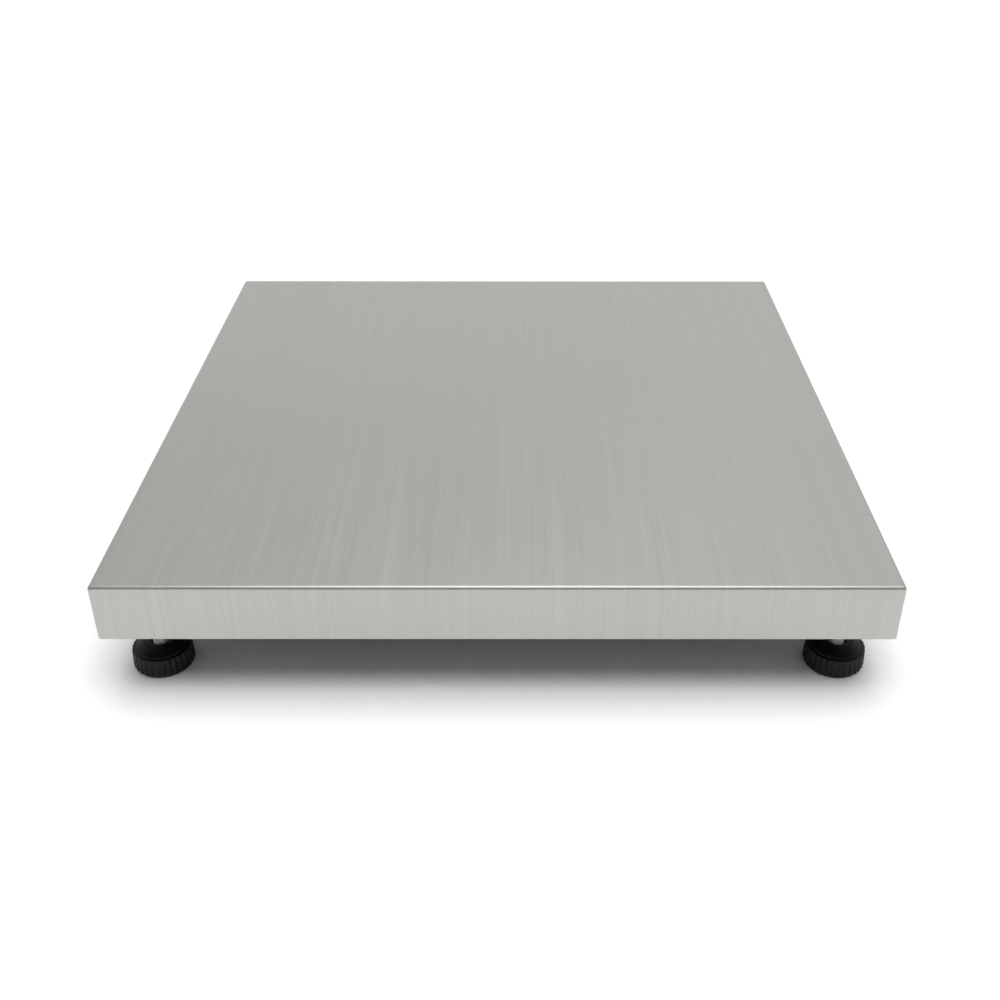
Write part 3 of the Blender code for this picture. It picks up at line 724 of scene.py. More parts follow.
def knobOutline(low, high, radius, values):
    # from the seat over the dome, down the fluted band and back underneath
    seat, collar, edge = values["seatRadius"], values["collarRadius"], values["collarEdge"]
    taper, fillet, steps = values["taper"], values["fillet"], values["domeSteps"]
    rim, underside, post = values["rim"], values["underside"], values["postRadius"]
    band, recess = radius - taper, radius - values["wall"]
    dome, domeStart = band - values["shoulder"], seat + values["domeStart"]
    floorOfSeat, shoulder = low + values["seatRise"], high - values["shoulderDrop"]
    outline = [(0, floorOfSeat), (seat, floorOfSeat), (seat, high - 0.0006), (seat + 0.0005, high)]
    outline += [(collar, high), (collar + edge, high - edge)]
    for step in range(2, steps + 1):
        share = step / steps
        height = high - values["collarRise"] - values["domeDrop"] * share**2
        outline.append((domeStart + (dome - domeStart) * share, height))
    outline += [(dome + 0.0003, shoulder + 0.0002), (dome + 0.0008, shoulder)]
    outline += arcPoints((band - fillet, shoulder - fillet), fillet, 90, 4, 4)
    for share in (0.35, 0.7):
        outline.append((band + taper * share, shoulder + (rim - shoulder) * share))
    outline += [(radius, rim + 0.0006), (radius - 0.0003, rim + 0.0001), (radius - 0.0007, rim)]
    outline += [(recess, rim), (recess, underside), (post, underside), (post, low + edge)]
    return outline + [(post - edge, low), (0, low)]


def buildKnob(values):
    low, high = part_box("foot_front_left")
    radius = radiusOf("foot_front_left")
    sides = values["flutes"] * values["cornersPerFlute"]
    knob = spinOutline("knob", knobOutline(low.z, high.z, radius, values), sides)
    fluteTurn, cornerTurn = fullTurn / values["flutes"], fullTurn / sides
    outside = radius - values["fluteReach"]
    startEdit(knob)
    for step, depth in enumerate(values["fluteDepths"]):

        def inFlute(place):
            turned = math.atan2(place.y, place.x) % fluteTurn
            away = abs(min(turned, fluteTurn - turned) - step * cornerTurn)
            return math.hypot(place.x, place.y) > outside and away < cornerTurn / 4

        pick("VERT", inFlute)
        scale = 1 - depth / radius
        bpy.ops.transform.resize(value=(scale, scale, 1), center_override=(0, 0, 0))
    endEdit()
    return knob


def buildTread(values):
    low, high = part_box("foot_sole_front_left")
    radius = radiusOf("foot_sole_front_left")
    hole, edge, taper = values["treadHole"], values["treadEdge"], values["grooveTaper"]
    depth, half = values["grooveDepth"], values["grooveWidth"] / 2
    outline = [(hole, low.z), (hole, high.z), (radius - 0.0003, high.z), (radius, high.z - 0.0003)]
    outline += arcPoints((radius - edge, low.z + edge), edge, 0, -90, 4)
    for groove in reversed(values["treadGrooves"]):
        outline += [(groove + half, low.z), (groove + half * taper, low.z + depth)]
        outline += [(groove - half * taper, low.z + depth), (groove - half, low.z)]
    return spinOutline("tread", outline + [(hole, low.z)], 96)


def buildThread(name, radius, pitch, depth, low, high, tip=0.0006, sides=28):
    # one thread of the section, turned up along the rod, cut square and given a plain tip
    rod = startPoint(name, (radius - depth, 0, low - 2 * pitch))
    for outwards, upwards in threadShape:
        extrudeCorner((outwards * depth, 0, upwards * pitch))
    endEdit()
    turns = math.ceil((high - low) / pitch) + 4
    steps = {"steps": sides, "render_steps": sides}
    useModifier(rod, "SCREW", screw_offset=pitch, iterations=turns, **steps)
    startEdit(rod)
    for height, clear in ((low, "clear_inner"), (high - tip, "clear_outer")):
        selectAll()
        bpy.ops.mesh.remove_doubles(threshold=2e-6)
        cut = {"plane_co": (0, 0, height), "plane_no": (0, 0, 1), clear: True}
        bpy.ops.mesh.bisect(use_fill=True, **cut)
    pick("FACE", lambda middle, normal: middle.z > high - tip - near and abs(normal.z) > mostly)
    bpy.ops.mesh.inset(thickness=depth * 0.9)
    extrudeFace((0, 0, tip))
    closeEdit()
    return rod


def buildHex(name, across, height, chamfer=0.94):
    # a hexagonal bar, turned to a chamfer at both ends
    cornerRadius = across / math.sqrt(3)
    bar = addRod(name, (0, 0, height / 2), cornerRadius, height, 6)
    flat, wide = across / 2 * chamfer, cornerRadius + 1e-4
    drop = (cornerRadius - flat) * math.tan(math.radians(30)) + 1e-5
    outline = [(0, 0), (flat, 0), (wide, drop), (wide, height - drop), (flat, height), (0, height)]
    combine(bar, spinOutline("turning", outline, 72), "INTERSECT")
    return bar


def buildNut(name, across, height, hole, lead=0.0006):
    nut = buildHex(name, across, height)
    wide = hole + lead + past
    outline = [(0, -past), (wide, -past), (hole, lead), (hole, height - lead)]
    drillOut(nut, outline + [(wide, height + past), (0, height + past)], 48)
    return nut


def buildFeet(values):
    low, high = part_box("foot_stud_front_left")
    radius = radiusOf("foot_stud_front_left")
    nutBase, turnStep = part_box("foot_lock_nut_front_left")[0].z, values["turnStep"]
    knob, tread = buildKnob(values), buildTread(values)
    stud = buildThread("stud", radius, values["pitch"], values["threadDepth"], low.z, high.z)
    nutHeight = heightOf("foot_lock_nut_front_left")
    nut = buildNut("lockNut", values["nutAcross"], nutHeight, radius + play)
    copyToCorners(knob, "foot_knob", "foot", "foot_{}", "black_plastic")
    copyToCorners(stud, "foot_screw", "foot_stud", "foot_{}", "zinc_steel", 0, turnStep)
    copyToCorners(tread, "foot_tread", "foot_sole", "foot_sole_{}", "black_rubber")
    copyToCorners(nut, "foot_nut", "foot_lock_nut", "base", "zinc_steel", nutBase, turnStep)


buildFeet(footValues)
print("feet threaded and fluted")


# the two frames: box tube with bushes, weld beads and end caps

tubeValues = {
    "wall": 0.002,
    "outerRadius": 0.003,
    "innerRadius": 0.001,
    "footBore": 0.0053,
    "stopBore": 0.0043,
    "bushWall": 0.003,
    "lead": 0.0005,
}


def buildTube(name, low, high, axis, values):
    # the long way is axis: 0 for X, 1 for Y
    tube = addBlock(name, low, high)
    length, wall = high[axis] - low[axis], values["wall"]
    middleZ, half = (low[2] + high[2]) / 2, (high[2] - low[2]) / 2

    def isLong(middle, run, nearest, furthest):
        # a long edge, between two distances above or below the tube's middle
        away = abs(middle.z - middleZ)
        return abs(run[axis]) > length * mostly and nearest < away < furthest

    startEdit(tube)
    pick("FACE", lambda middle, normal: abs(normal[axis]) > mostly)
    bpy.ops.mesh.inset(thickness=wall)
    bpy.ops.mesh.bridge_edge_loops()
    pick("EDGE", lambda middle, run: isLong(middle, run, half - wall / 2, half + near))
    bevelPicked(values["outerRadius"], 5)
    pick("EDGE", lambda middle, run: isLong(middle, run, half - wall - near, half - wall / 2))
    bevelPicked(values["innerRadius"], 3)
    closeEdit()
    return tube


def boreTube(tube, spot, radius, low, high, values):
    # a bush is welded in for an upright thread, then bored with a small lead-in
    place, depth = (spot.x, spot.y, (low + high) / 2), high - low - values["wall"]
    combine(tube, addRod("bush", place, radius + values["bushWall"], depth), "UNION")
    lead = values["lead"]
    wide = radius + lead
    outline = [(0, low - past), (wide, low - past), (wide, low), (radius, low + lead)]
    outline += [(radius, high - lead), (wide, high), (wide, high + past), (0, high + past)]
    drillOut(tube, outline, 48, (spot.x, spot.y, 0))


def buildTubes(values):
    bores = (("foot_stud", values["footBore"]), ("overload_stop", values["stopBore"]))
    for side in ("left", "right"):
        node = f"base_rail_{side}"
        low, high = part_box(node)
        tube = buildTube(f"base_tube_{side}", low, high, 1, values)
        for holes, radius in bores:
            for end in ("front", "rear"):
                spot = middleOf(f"{holes}_{end}_{side}")
                boreTube(tube, spot, radius, low.z, high.z, values)
        finishPiece(tube, "base", "painted_steel", node)
        node = f"platform_rail_{side}"
        tube = buildTube(f"platform_tube_{side}", *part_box(node), 1, values)
        finishPiece(tube, "platform", "painted_steel", node)
    for end in ("front", "rear"):
        for body in ("base", "platform"):
            node = f"{body}_cross_{end}"
            tube = buildTube(f"{body}_cross_tube_{end}", *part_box(node), 0, values)
            finishPiece(tube, body, "painted_steel", node)


buildTubes(tubeValues)
print("frame tubes bored")


capValues = {
    "plate": 0.0020,
    "gap": 0.0001,  # between the cap and the tube's end
    "shy": 0.0002,  # the cap is this much smaller than the tube all round
    "plugLength": 0.009,
    "plugFloor": 0.001,
    "plugGap": 0.0026,
    "plugWall": 0.0016,
    "cornerRadius": 0.0028,
    "rim": 0.0012,
    "crown": (0.98, 1, 0.97),
    "edge": 0.0004,
}


def buildEndCaps(values):
    low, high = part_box("base_rail_left")
    middle, shy, plug = (low + high) / 2, values["shy"], values["plugLength"]
    capLow = (low.x + shy, high.y + values["gap"], low.z + shy)
    cap = addBlock("cap", capLow, (high.x - shy, high.y + values["plate"], high.z - shy))
    startEdit(cap)
    pick("FACE", lambda place, normal: normal.y < -mostly)
    bpy.ops.mesh.inset(thickness=values["plugGap"])
    extrudeFace((0, -plug, 0))
    bpy.ops.mesh.inset(thickness=values["plugWall"])
    extrudeFace((0, plug - values["plugFloor"], 0))
    pick("EDGE", lambda place, run: abs(run.y) > near and place.y > high.y)
    bevelPicked(values["cornerRadius"], 4)
    pick("FACE", lambda place, normal: normal.y > mostly)
    bpy.ops.mesh.inset(thickness=values["rim"])
    bpy.ops.transform.resize(value=values["crown"], center_override=(middle.x, 0, middle.z))
    endEdit()
    roundEdges(cap, values["edge"], 2, 40)
    for body, lift in (("base", 0), ("platform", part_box("platform_rail_left")[0].z - low.z)):
        for corner, (sideX, sideY) in corners.items():
            shift = (-(sideX + sideY) * middle.x, 0, lift)
            turned = Matrix.Rotation(math.pi if sideY < 0 else 0, 3, "Z")
            piece = copyPiece(cap, f"{body}_end_cap_{corner}", shift, turned)
            finishPiece(piece, body, "black_plastic")
    dropPiece(cap)


buildEndCaps(capValues)
print("tube ends capped")


weldValues = {
    "size": 0.0021,
    "ripple": 0.0013,
    "swell": 1.13,
    "start": 1.6,
    "end": 0.6,
    "sink": 0.0009,
    "sideSink": 0.00036,
    "inwards": 0.0006,
    "long": 0.026,
    "short": 0.013,
    "alongPlate": (0.27, 0.73),  # where the beads lie on the cell plates
}


def layBead(name, length, values):
    # a run of weld along Z, one overlapping pool after another
    end, count = values["end"], round(length / values["ripple"])
    height, step = -length / 2, length / count
    clearSelection()
    bpy.ops.mesh.primitive_circle_add(
        vertices=10, radius=values["size"] * end, fill_type="NGON", location=(0, 0, height)
    )
    bead = settle(name)
    startEdit(bead)
    selectAll()
    for ripple in range(count):
        swell = values["swell" if ripple else "start"]
        for share, scale in ((0.3, swell), (0.7, 1 / values["swell"])):
            height += step * share
            extrudeFace((0, 0, step * share))
            bpy.ops.transform.resize(value=(scale, scale, 1), center_override=(0, 0, height))
    bpy.ops.transform.resize(value=(end, end, 1), center_override=(0, 0, height))
    closeEdit()
    return bead


def buildWelds(values):
    long, short = (layBead(f"{run}Bead", values[run], values) for run in ("long", "short"))
    alongX, alongY = (Matrix.Rotation(quarterTurn, 3, axis) for axis in ("Y", "X"))
    sink, sideSink = values["sink"], values["sideSink"]
    for body in ("base", "platform"):
        beads = []

        def lay(model, *place, turned=None):
            beads.append(copyPiece(model, "bead", place, turned))

        for end in ("front", "rear"):
            low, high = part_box(f"{body}_cross_{end}")
            middle = (low + high) / 2
            for x in (low.x, high.x):
                for z in (low.z + sink, high.z - sink):
                    lay(long, x, middle.y, z, turned=alongY)
                for y in (low.y + sideSink, high.y - sideSink):
                    lay(short, x + math.copysign(values["inwards"], -x), y, middle.z)
        low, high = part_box(f"{body}_cell_plate")
        for y in (low.y, high.y):
            for share in values["alongPlate"]:
                x = low.x + (high.x - low.x) * share
                lay(long, x, y, high.z if body == "base" else low.z, turned=alongX)
        if body == "base":
            low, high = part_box("level_tab")
            lay(long, high.x, (low.y + high.y) / 2, low.z, turned=alongY)
            low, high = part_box("socket_tab")
            for y in (low.y, high.y):
                lay(short, low.x, y, (low.z + high.z) / 2)
        piece = joinPieces(f"{body}_welds", beads)
        finishPiece(piece, body, "painted_steel", smoothBelow=60)
    dropPiece(long)
    dropPiece(short)


buildWelds(weldValues)
print("frames welded")


# the load cell, its seal, plates, spacers and bolts

cellValues = {
    "edge": 0.0009,
    "eyeRadius": 0.009,
    "eyeSpacing": 0.030,
    "slot": 0.006,
    "threadRadius": 0.0040,
    "threadDepth": 0.014,
    "threadLead": 0.0006,
    "drillPoint": 0.0015,
    "sealSink": 0.0009,
    "sealPlay": 0.0002,
    "sealEdge": 0.0006,
    "boltSpots": (0.0375, 0.0625),
    "boltSide": 0.0125,
    "bend": (-0.029, 0.029),
    "bendCuts": 7,
}


def boltPlaces(side, values):
    return [(side * x, y * values["boltSide"]) for x in values["boltSpots"] for y in (-1, 1)]


def addEyes(name, low, high, radius, slot, values):
    # two round holes along Y with a slot between them
    middle, half = (low + high) / 2, values["eyeSpacing"] / 2
    slotLow = (-half, low.y, middle.z - slot / 2)
    eyes = addBlock(name, slotLow, (half, high.y, middle.z + slot / 2))
    for x in (-half, half):
        eye = addRod("eye", (x, middle.y, middle.z), radius, high.y - low.y, 56, "Y")
        combine(eyes, eye, "UNION")
    return eyes


def buildCell(values):
    low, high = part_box("load_cell")
    cell = addBlock("cell_beam", low, high)
    roundEdges(cell, values["edge"])
    beyond = Vector((0, past, 0))
    eyes = addEyes("eyes", low - beyond, high + beyond, values["eyeRadius"], values["slot"], values)
    combine(cell, eyes, "DIFFERENCE")
    radius, depth, lead = values["threadRadius"], values["threadDepth"], values["threadLead"]
    outline = [(0, -past), (radius + lead + past, -past), (radius, lead)]
    outline += [(radius, depth), (0, depth + values["drillPoint"])]
    for side, mouth, turn in ((-1, low.z, 0), (1, high.z, math.pi)):
        for x, y in boltPlaces(side, values):
            drillOut(cell, outline, 32, (x, y, mouth), Matrix.Rotation(turn, 3, "X"))
    bendFrom, bendTo = values["bend"]
    startEdit(cell)
    for cut in range(values["bendCuts"]):
        x = bendFrom + (bendTo - bendFrom) * cut / (values["bendCuts"] - 1)
        selectAll()
        bpy.ops.mesh.bisect(plane_co=(x, 0, 0), plane_no=(1, 0, 0))
    endEdit()
    finishPiece(cell, None, "cell_aluminium", "load_cell")

    sealLow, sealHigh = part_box("gauge_seal")
    sink, sealPlay = Vector((0, values["sealSink"], 0)), values["sealPlay"]
    radius, slot = values["eyeRadius"] - sealPlay, values["slot"] - 2 * sealPlay
    seal = addEyes("gauge_filling", sealLow + sink, sealHigh - sink, radius, slot, values)
    roundEdges(seal, values["sealEdge"], 2, 60)
    finishPiece(seal, None, "silicone", "gauge_seal")
    for piece in (cell, seal):
        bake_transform(piece)


buildCell(cellValues)
print("load cell machined and sealed")


plateValues = {
    "edge": 0.0006,
    "hole": 0.0045,
    "sinkRadius": 0.0079,
    "sinkDepth": 0.0045,
    "sinkLip": 0.0010,
}


def buildPlate(node, name, body, slotName, spots, values, sunk=False):
    low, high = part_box(node)
    plate = addBlock(name, low, high)
    roundEdges(plate, min(values["edge"], (high.z - low.z) / 4))
    hole, wide, top = values["hole"], values["sinkRadius"], high.z + past
    outline = [(0, low.z - past), (hole, low.z - past)]
    if sunk:
        outline += [(hole, high.z - values["sinkDepth"]), (wide, high.z - values["sinkLip"])]
    outline += [(wide if sunk else hole, top), (0, top)]
    for x, y in spots:
        drillOut(plate, outline, 40, (x, y, 0))
    finishPiece(plate, body, slotName, node)


for side, body, state in ((-1, "base", "fixed"), (1, "platform", "live")):
    spots, sunk = boltPlaces(side, cellValues), side > 0
    node, shim = f"{body}_cell_plate", f"cell_spacer_{state}"
    buildPlate(node, f"{body}_cell_seat", body, "painted_steel", spots, plateValues, sunk)
    buildPlate(shim, f"cell_shim_{state}", body, "zinc_steel", spots, plateValues)
print("cell plates drilled")


boltValues = {
    "across": 0.013,
    "headHeight": 0.0053,
    "headRim": 0.0012,
    "headDish": 0.0003,
    "dishEdge": 0.0004,
    "sink": 0.001,  # the shaft starts this far inside the head
    "radius": 0.0040,
    "shaftEdge": 0.0005,
    "pitch": 0.00125,
    "threadDepth": 0.0007,
    "tip": 0.0008,
    "tipRadius": 0.0032,
    "sunkHead": 0.0075,
    "sunkHeight": 0.0040,
    "sunkLip": 0.0007,
    "keyAcross": 0.0050,
    "keyDepth": 0.0026,
    "nutHeight": 0.0040,
    "turnStep": 23,  # degrees from one bolt of a kind to the next
    "kindStep": 11,
}


def buildHexBolt(name, length, values, threaded):
    head = buildHex(name, values["across"], values["headHeight"])
    startEdit(head)
    pick("FACE", lambda middle, normal: normal.z < -mostly)
    bpy.ops.mesh.inset(thickness=values["headRim"])
    bpy.ops.mesh.inset(thickness=values["dishEdge"], depth=-values["headDish"])
    endEdit()
    start, radius, tip = values["headHeight"] - values["sink"], values["radius"], values["tip"]
    pitch, depth = values["pitch"], values["threadDepth"]
    if threaded:
        shaft = buildThread("shaft", radius, pitch, depth, start, length, tip, 24)
    else:
        middle = (0, 0, (start + length) / 2)
        shaft = addRod("shaft", middle, radius - play, length - start, 32)
        roundEdges(shaft, values["shaftEdge"])
    combine(head, shaft, "UNION")
    return head


def buildSunkBolt(name, length, values):
    # the top of the head is at the origin
    shaft, head, depth = values["radius"] - play, values["sunkHead"], values["keyDepth"]
    outline = [(0, -length), (values["tipRadius"], -length), (shaft, values["tip"] - length)]
    outline += [(shaft, -values["sunkHeight"]), (head, -values["sunkLip"])]
    outline += [(head, -0.0001), (head - 0.0002, 0), (0, 0)]
    bolt = spinOutline(name, outline, 48)
    corner = values["keyAcross"] / math.sqrt(3)
    key = addRod("key", (0, 0, (past - depth) / 2), corner, depth + past, 6)
    combine(bolt, key, "DIFFERENCE")
    return bolt


def buildBolts(values):
    boxes = {
        node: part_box(f"{node}_front_left")
        for node in ("fixed_bolt", "live_bolt", "overload_stop", "overload_nut")
    }
    length = {node: high.z - low.z for node, (low, high) in boxes.items()}
    base = {node: low.z for node, (low, high) in boxes.items()}
    fixed = buildHexBolt("fixedBolt", length["fixed_bolt"], values, False)
    live = buildSunkBolt("liveBolt", length["live_bolt"], values)
    stop = buildHexBolt("stopBolt", length["overload_stop"], values, True)
    nut = buildNut("stopNut", values["across"], values["nutHeight"], values["radius"] + play)
    rows = (
        (fixed, "cell_bolt_fixed", "fixed_bolt", "base", base["fixed_bolt"]),
        (live, "cell_bolt_live", "live_bolt", "platform", boxes["live_bolt"][1].z),
        (stop, "stop_screw", "overload_stop", "base", base["overload_stop"]),
        (nut, "stop_nut", "overload_nut", "base", base["overload_nut"]),
    )
    for row, (model, name, node, body, height) in enumerate(rows):
        turns = (values["turnStep"], values["kindStep"] * row)
        copyToCorners(model, name, node, body, "zinc_steel", height, *turns)


buildBolts(boltValues)
print("bolts fitted")


padValues = {"round": 0.0009, "edge": 0.0004, "dimple": 0.0048, "dimpleDepth": 0.0012}


def buildPads(values):
    low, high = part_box("pan_pad_front_left")
    radius, edge, fillet = radiusOf("pan_pad_front_left"), values["edge"], values["round"]
    dimple, floorOfDimple = values["dimple"], high.z - values["dimpleDepth"]
    outline = [(0, low.z), (radius - edge, low.z), (radius, low.z + edge)]
    outline += arcPoints((radius - fillet, high.z - fillet), fillet, 0, 90, 4)
    outline += [(dimple + edge, high.z), (dimple, high.z - 0.0003)]
    outline += [(dimple - 0.0006, floorOfDimple), (0, floorOfDimple)]
    pad = spinOutline("pad", outline, 56)
    copyToCorners(pad, "pan_bumper", "pan_pad", "platform", "black_rubber")


buildPads(padValues)
print("pads seated")


# the bubble level on its tab

tabValues = {"edge": 0.0005, "cornerRadius": 0.005}
levelValues = {
    "wall": 0.0017,
    "lip": 0.0005,
    "edge": 0.0006,
    "grip": 0.0004,  # the depth of the groove round the cup, and of its lower edge
    "fluidTop": 0.0022,  # below the lens's top
    "fluidGap": 0.0002,
    "soft": 0.0003,
    "bubble": (0.0034, 0.0009),
    "bubblePlace": (0.0006, 0.0004),
    "ringRadius": 0.0044,
    "ringWidth": 0.00018,
    "ringHeight": 0.0001,
    "lensThick": 0.0010,
}


def buildTab(node, name, freeX, thin, values, hole=None):
    # freeX is the side of the tab away from its rail, thin its axis of least thickness
    low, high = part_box(node)
    tab, middleX = addBlock(name, low, high), (low.x + high.x) / 2

    def isFreeCorner(place, run):
        return abs(run[thin]) > near > abs(run.x) and (place.x - middleX) * freeX > 0

    startEdit(tab)
    pick("EDGE", isFreeCorner)
    bevelPicked(values["cornerRadius"], 6)
    endEdit()
    roundEdges(tab, values["edge"], 2, 50)
    if hole:
        combine(tab, addRod("hole", *hole, 56, "Y"), "DIFFERENCE")
    finishPiece(tab, "base", "painted_steel", node)


def buildLevel(values):
    buildTab("level_tab", "level_bracket", -1, 2, tabValues)
    low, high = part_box("level_cup")
    lensLow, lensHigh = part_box("level_lens")
    middle, radius = (low + high) / 2, radiusOf("level_cup")
    inner, lip, edge, grip = radius - values["wall"], values["lip"], values["edge"], values["grip"]
    soft, wide, tall = values["soft"], *values["bubble"]
    rim, fluidTop = inner - values["fluidGap"], lensHigh.z - values["fluidTop"]

    def spinHere(name, outline, sides, slotName, node=None, finish=None, shift=(0, 0)):
        spot = (middle.x + shift[0], middle.y + shift[1], 0)
        piece = setDown(spinOutline(name, outline, sides), name, spot)
        finishPiece(piece, "base", slotName, node, finish)

    floorOfCup, waist = lensLow.z - soft, radius - grip
    outline = [(0, floorOfCup), (inner, floorOfCup), (inner, high.z - soft)]
    outline += arcPoints((inner + lip, high.z - lip), lip, 180, 90, 3)
    outline += arcPoints((radius - edge, high.z - edge), edge, 90, 0, 4)
    outline += [(radius, low.z + 0.0026), (waist, low.z + 0.0023), (waist, low.z + 0.0019)]
    outline += [(radius, low.z + 0.0016), (radius, low.z + grip), (waist, low.z), (0, low.z)]
    spinHere("level_ring", outline, 72, "nickel", "level_cup")

    outline = [(0, lensLow.z), (rim, lensLow.z), (rim, fluidTop - soft), (rim - soft, fluidTop)]
    outline += [(0, fluidTop)]
    spinHere("level_fluid_body", outline, 64, "level_glass", finish="level_fluid")

    turns = [math.radians(angle) for angle in range(0, 91, 15)]
    outline = [(wide * math.sin(a), fluidTop + tall * math.cos(a)) for a in turns]
    outline += [(wide, fluidTop - 0.0002), (0, fluidTop - 0.0002)]
    place = values["bubblePlace"]
    spinHere("level_bubble_dome", outline, 48, "level_glass", finish="level_bubble", shift=place)

    ring, half, rise = values["ringRadius"], values["ringWidth"], values["ringHeight"]
    sides = ((-half, -rise), (half, -rise), (half, rise), (-half, rise), (-half, -rise))
    outline = [(ring + out, fluidTop + up) for out, up in sides]
    spinHere("level_mark", outline, 64, "black_plastic")

    under = lensHigh.z - values["lensThick"]
    outline = [(0, under), (rim, under), (rim, lensHigh.z - soft)]
    outline += [(rim - soft, lensHigh.z - 0.0001), (rim * 0.6, lensHigh.z), (0, lensHigh.z)]
    spinHere("level_window", outline, 64, "level_glass", "level_lens")


buildLevel(levelValues)
print("level set")


# the signal socket, its nut and tab

socketValues = {
    "barrel": 0.0085,
    "body": 0.0080,
    "bore": 0.0065,
    "boreDepth": 0.016,
    "flange": (0.0110, 0.0020),
    "mouth": 0.0100,
    "standOff": 0.0003,
    "threadPitch": 0.0010,
    "threadDepth": 0.0005,
    "backHole": 0.0024,
    "backHoleDepth": 0.004,
    "insertFace": 0.0030,
    "insertGap": 0.0001,
    "keyWidth": 0.0016,
    "keyEdge": 0.0002,
    "pins": 4,
    "pinCircle": 0.0036,
    "pinRadius": 0.00062,
    "pinLength": 0.0045,
    "nutAcross": 0.020,
}


def shellOutline(back, values):
    # from the bottom of the bore out of the mouth, back along the thread and round the flange
    barrel, body, bore, mouth = (values[key] for key in ("barrel", "body", "bore", "mouth"))
    pitch, root = values["threadPitch"], values["barrel"] - values["threadDepth"]
    (flangeRadius, flange), hole, soft = values["flange"], values["backHole"], 0.0003
    inside = mouth - values["boreDepth"]
    outline = [(0, inside), (bore, inside), (bore, mouth - 0.0005), (bore + 0.0004, mouth)]
    outline += [(barrel - 0.0006, mouth)]
    for thread in range(int((mouth - flange - 0.0016) / pitch)):
        top = mouth - 0.0004 - thread * pitch
        outline += [(root, top), (barrel, top - pitch * 0.4), (barrel, top - pitch * 0.6)]
    outline += [(root, flange + 0.0010), (root, flange + 0.0002), (flangeRadius - soft, flange)]
    outline += [(flangeRadius, flange - soft), (flangeRadius, 0), (body, 0), (body, back + 0.0006)]
    outline += [(body - 0.0006, back), (hole, back), (hole, back + values["backHoleDepth"])]
    return outline + [(0, back + values["backHoleDepth"])]


def buildSocket(values):
    low, tabLow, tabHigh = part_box("signal_socket")[0], *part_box("socket_tab")
    middle, gap, standOff = middleOf("signal_socket"), values["insertGap"], values["standOff"]
    hole = ((middle.x, tabLow.y + 0.001, middle.z), values["body"] + standOff, 0.006)
    buildTab("socket_tab", "socket_bracket", 1, 1, tabValues, hole)

    forwards = Matrix.Rotation(-quarterTurn, 3, "X")
    spot = (middle.x, tabHigh.y + standOff, middle.z)
    shell = spinOutline("shell", shellOutline(low.y - tabHigh.y - standOff, values), 72)
    setDown(shell, "socket_shell", spot, forwards)
    finishPiece(shell, "base", "nickel", "signal_socket")

    face, bore, mouth = values["insertFace"], values["bore"], values["mouth"]
    inside, rim = mouth - values["boreDepth"] + 2 * gap, bore - gap
    outline = [(0, inside), (rim, inside), (rim, face - 0.0003), (bore - 0.0004, face), (0, face)]
    insert = spinOutline("insert", outline, 56)
    half, edge = values["keyWidth"] / 2, values["keyEdge"]
    key = addBlock("key", (-half, bore - 2 * half, face - 0.004), (half, rim, mouth - 0.0020))
    roundEdges(key, edge)
    combine(insert, key, "UNION")
    setDown(insert, "socket_insert", spot, forwards)
    finishPiece(insert, "base", "black_plastic")

    radius, circle = values["pinRadius"], values["pinCircle"]
    end = face + values["pinLength"] - radius
    outline = [(0, face - 0.001), (radius, face - 0.001), (radius, end)]
    pin = spinOutline("pin", outline + arcPoints((0, end), radius, 0, 90, 4)[1:], 20)
    pins = [copyPiece(pin, "pinHere")]
    for index in range(values["pins"]):
        angle = fullTurn * (index + 0.5) / values["pins"]
        place = (circle * math.cos(angle), circle * math.sin(angle), 0)
        pins.append(copyPiece(pin, "pinHere", place))
    dropPiece(pin)
    contacts = setDown(joinPieces("socket_pins", pins), "socket_pins", spot, forwards)
    finishPiece(contacts, "base", "nickel", finish="gold_contact")

    nutLow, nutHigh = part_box("socket_nut")
    hole = values["body"] + 2 * gap
    nut = buildNut("panelNut", values["nutAcross"], nutHigh.y - nutLow.y, hole)
    setDown(nut, "socket_locknut", (middle.x, nutLow.y, middle.z), forwards)
    finishPiece(nut, "base", "nickel", "socket_nut")


buildSocket(socketValues)
print("socket fitted")


# the load cell's lead, its sleeves and clips

leadValues = {
    "radius": 0.0020,
    "collar": 0.0008,
    "sleeveRadius": 0.0034,
    "sleeveLength": 0.0075,
    "ridges": 3,
    "ridgePitch": 0.0016,
    "bootRadius": 0.0027,
}
leadRoute = (
    (-0.0713, 0.0000, 0.0551),
    (-0.0800, 0.0000, 0.0551),
    (-0.0870, 0.0010, 0.0543),
    (-0.0960, 0.0060, 0.0480),
    (-0.1040, 0.0140, 0.0370),
    (-0.1110, 0.0220, 0.0295),
    (-0.1140, 0.0320, 0.0279),
    (-0.1140, 0.0420, 0.0279),
    (-0.1140, 0.0520, 0.0279),
    (-0.1160, 0.0630, 0.0288),
    (-0.1280, 0.0800, 0.0330),
    (-0.1530, 0.0970, 0.0385),
    (-0.1820, 0.1070, 0.0415),
    (-0.1980, 0.1160, 0.0420),
    (-0.2029, 0.1240, 0.0420),
    (-0.2029, 0.1300, 0.0420),
    (-0.2029, 0.1360, 0.0420),
    (-0.2000, 0.1470, 0.0420),
    (-0.1920, 0.1590, 0.0420),
    (-0.1875, 0.1690, 0.0420),
    (-0.1870, 0.1770, 0.0420),
    (-0.1870, 0.1834, 0.0420),
)


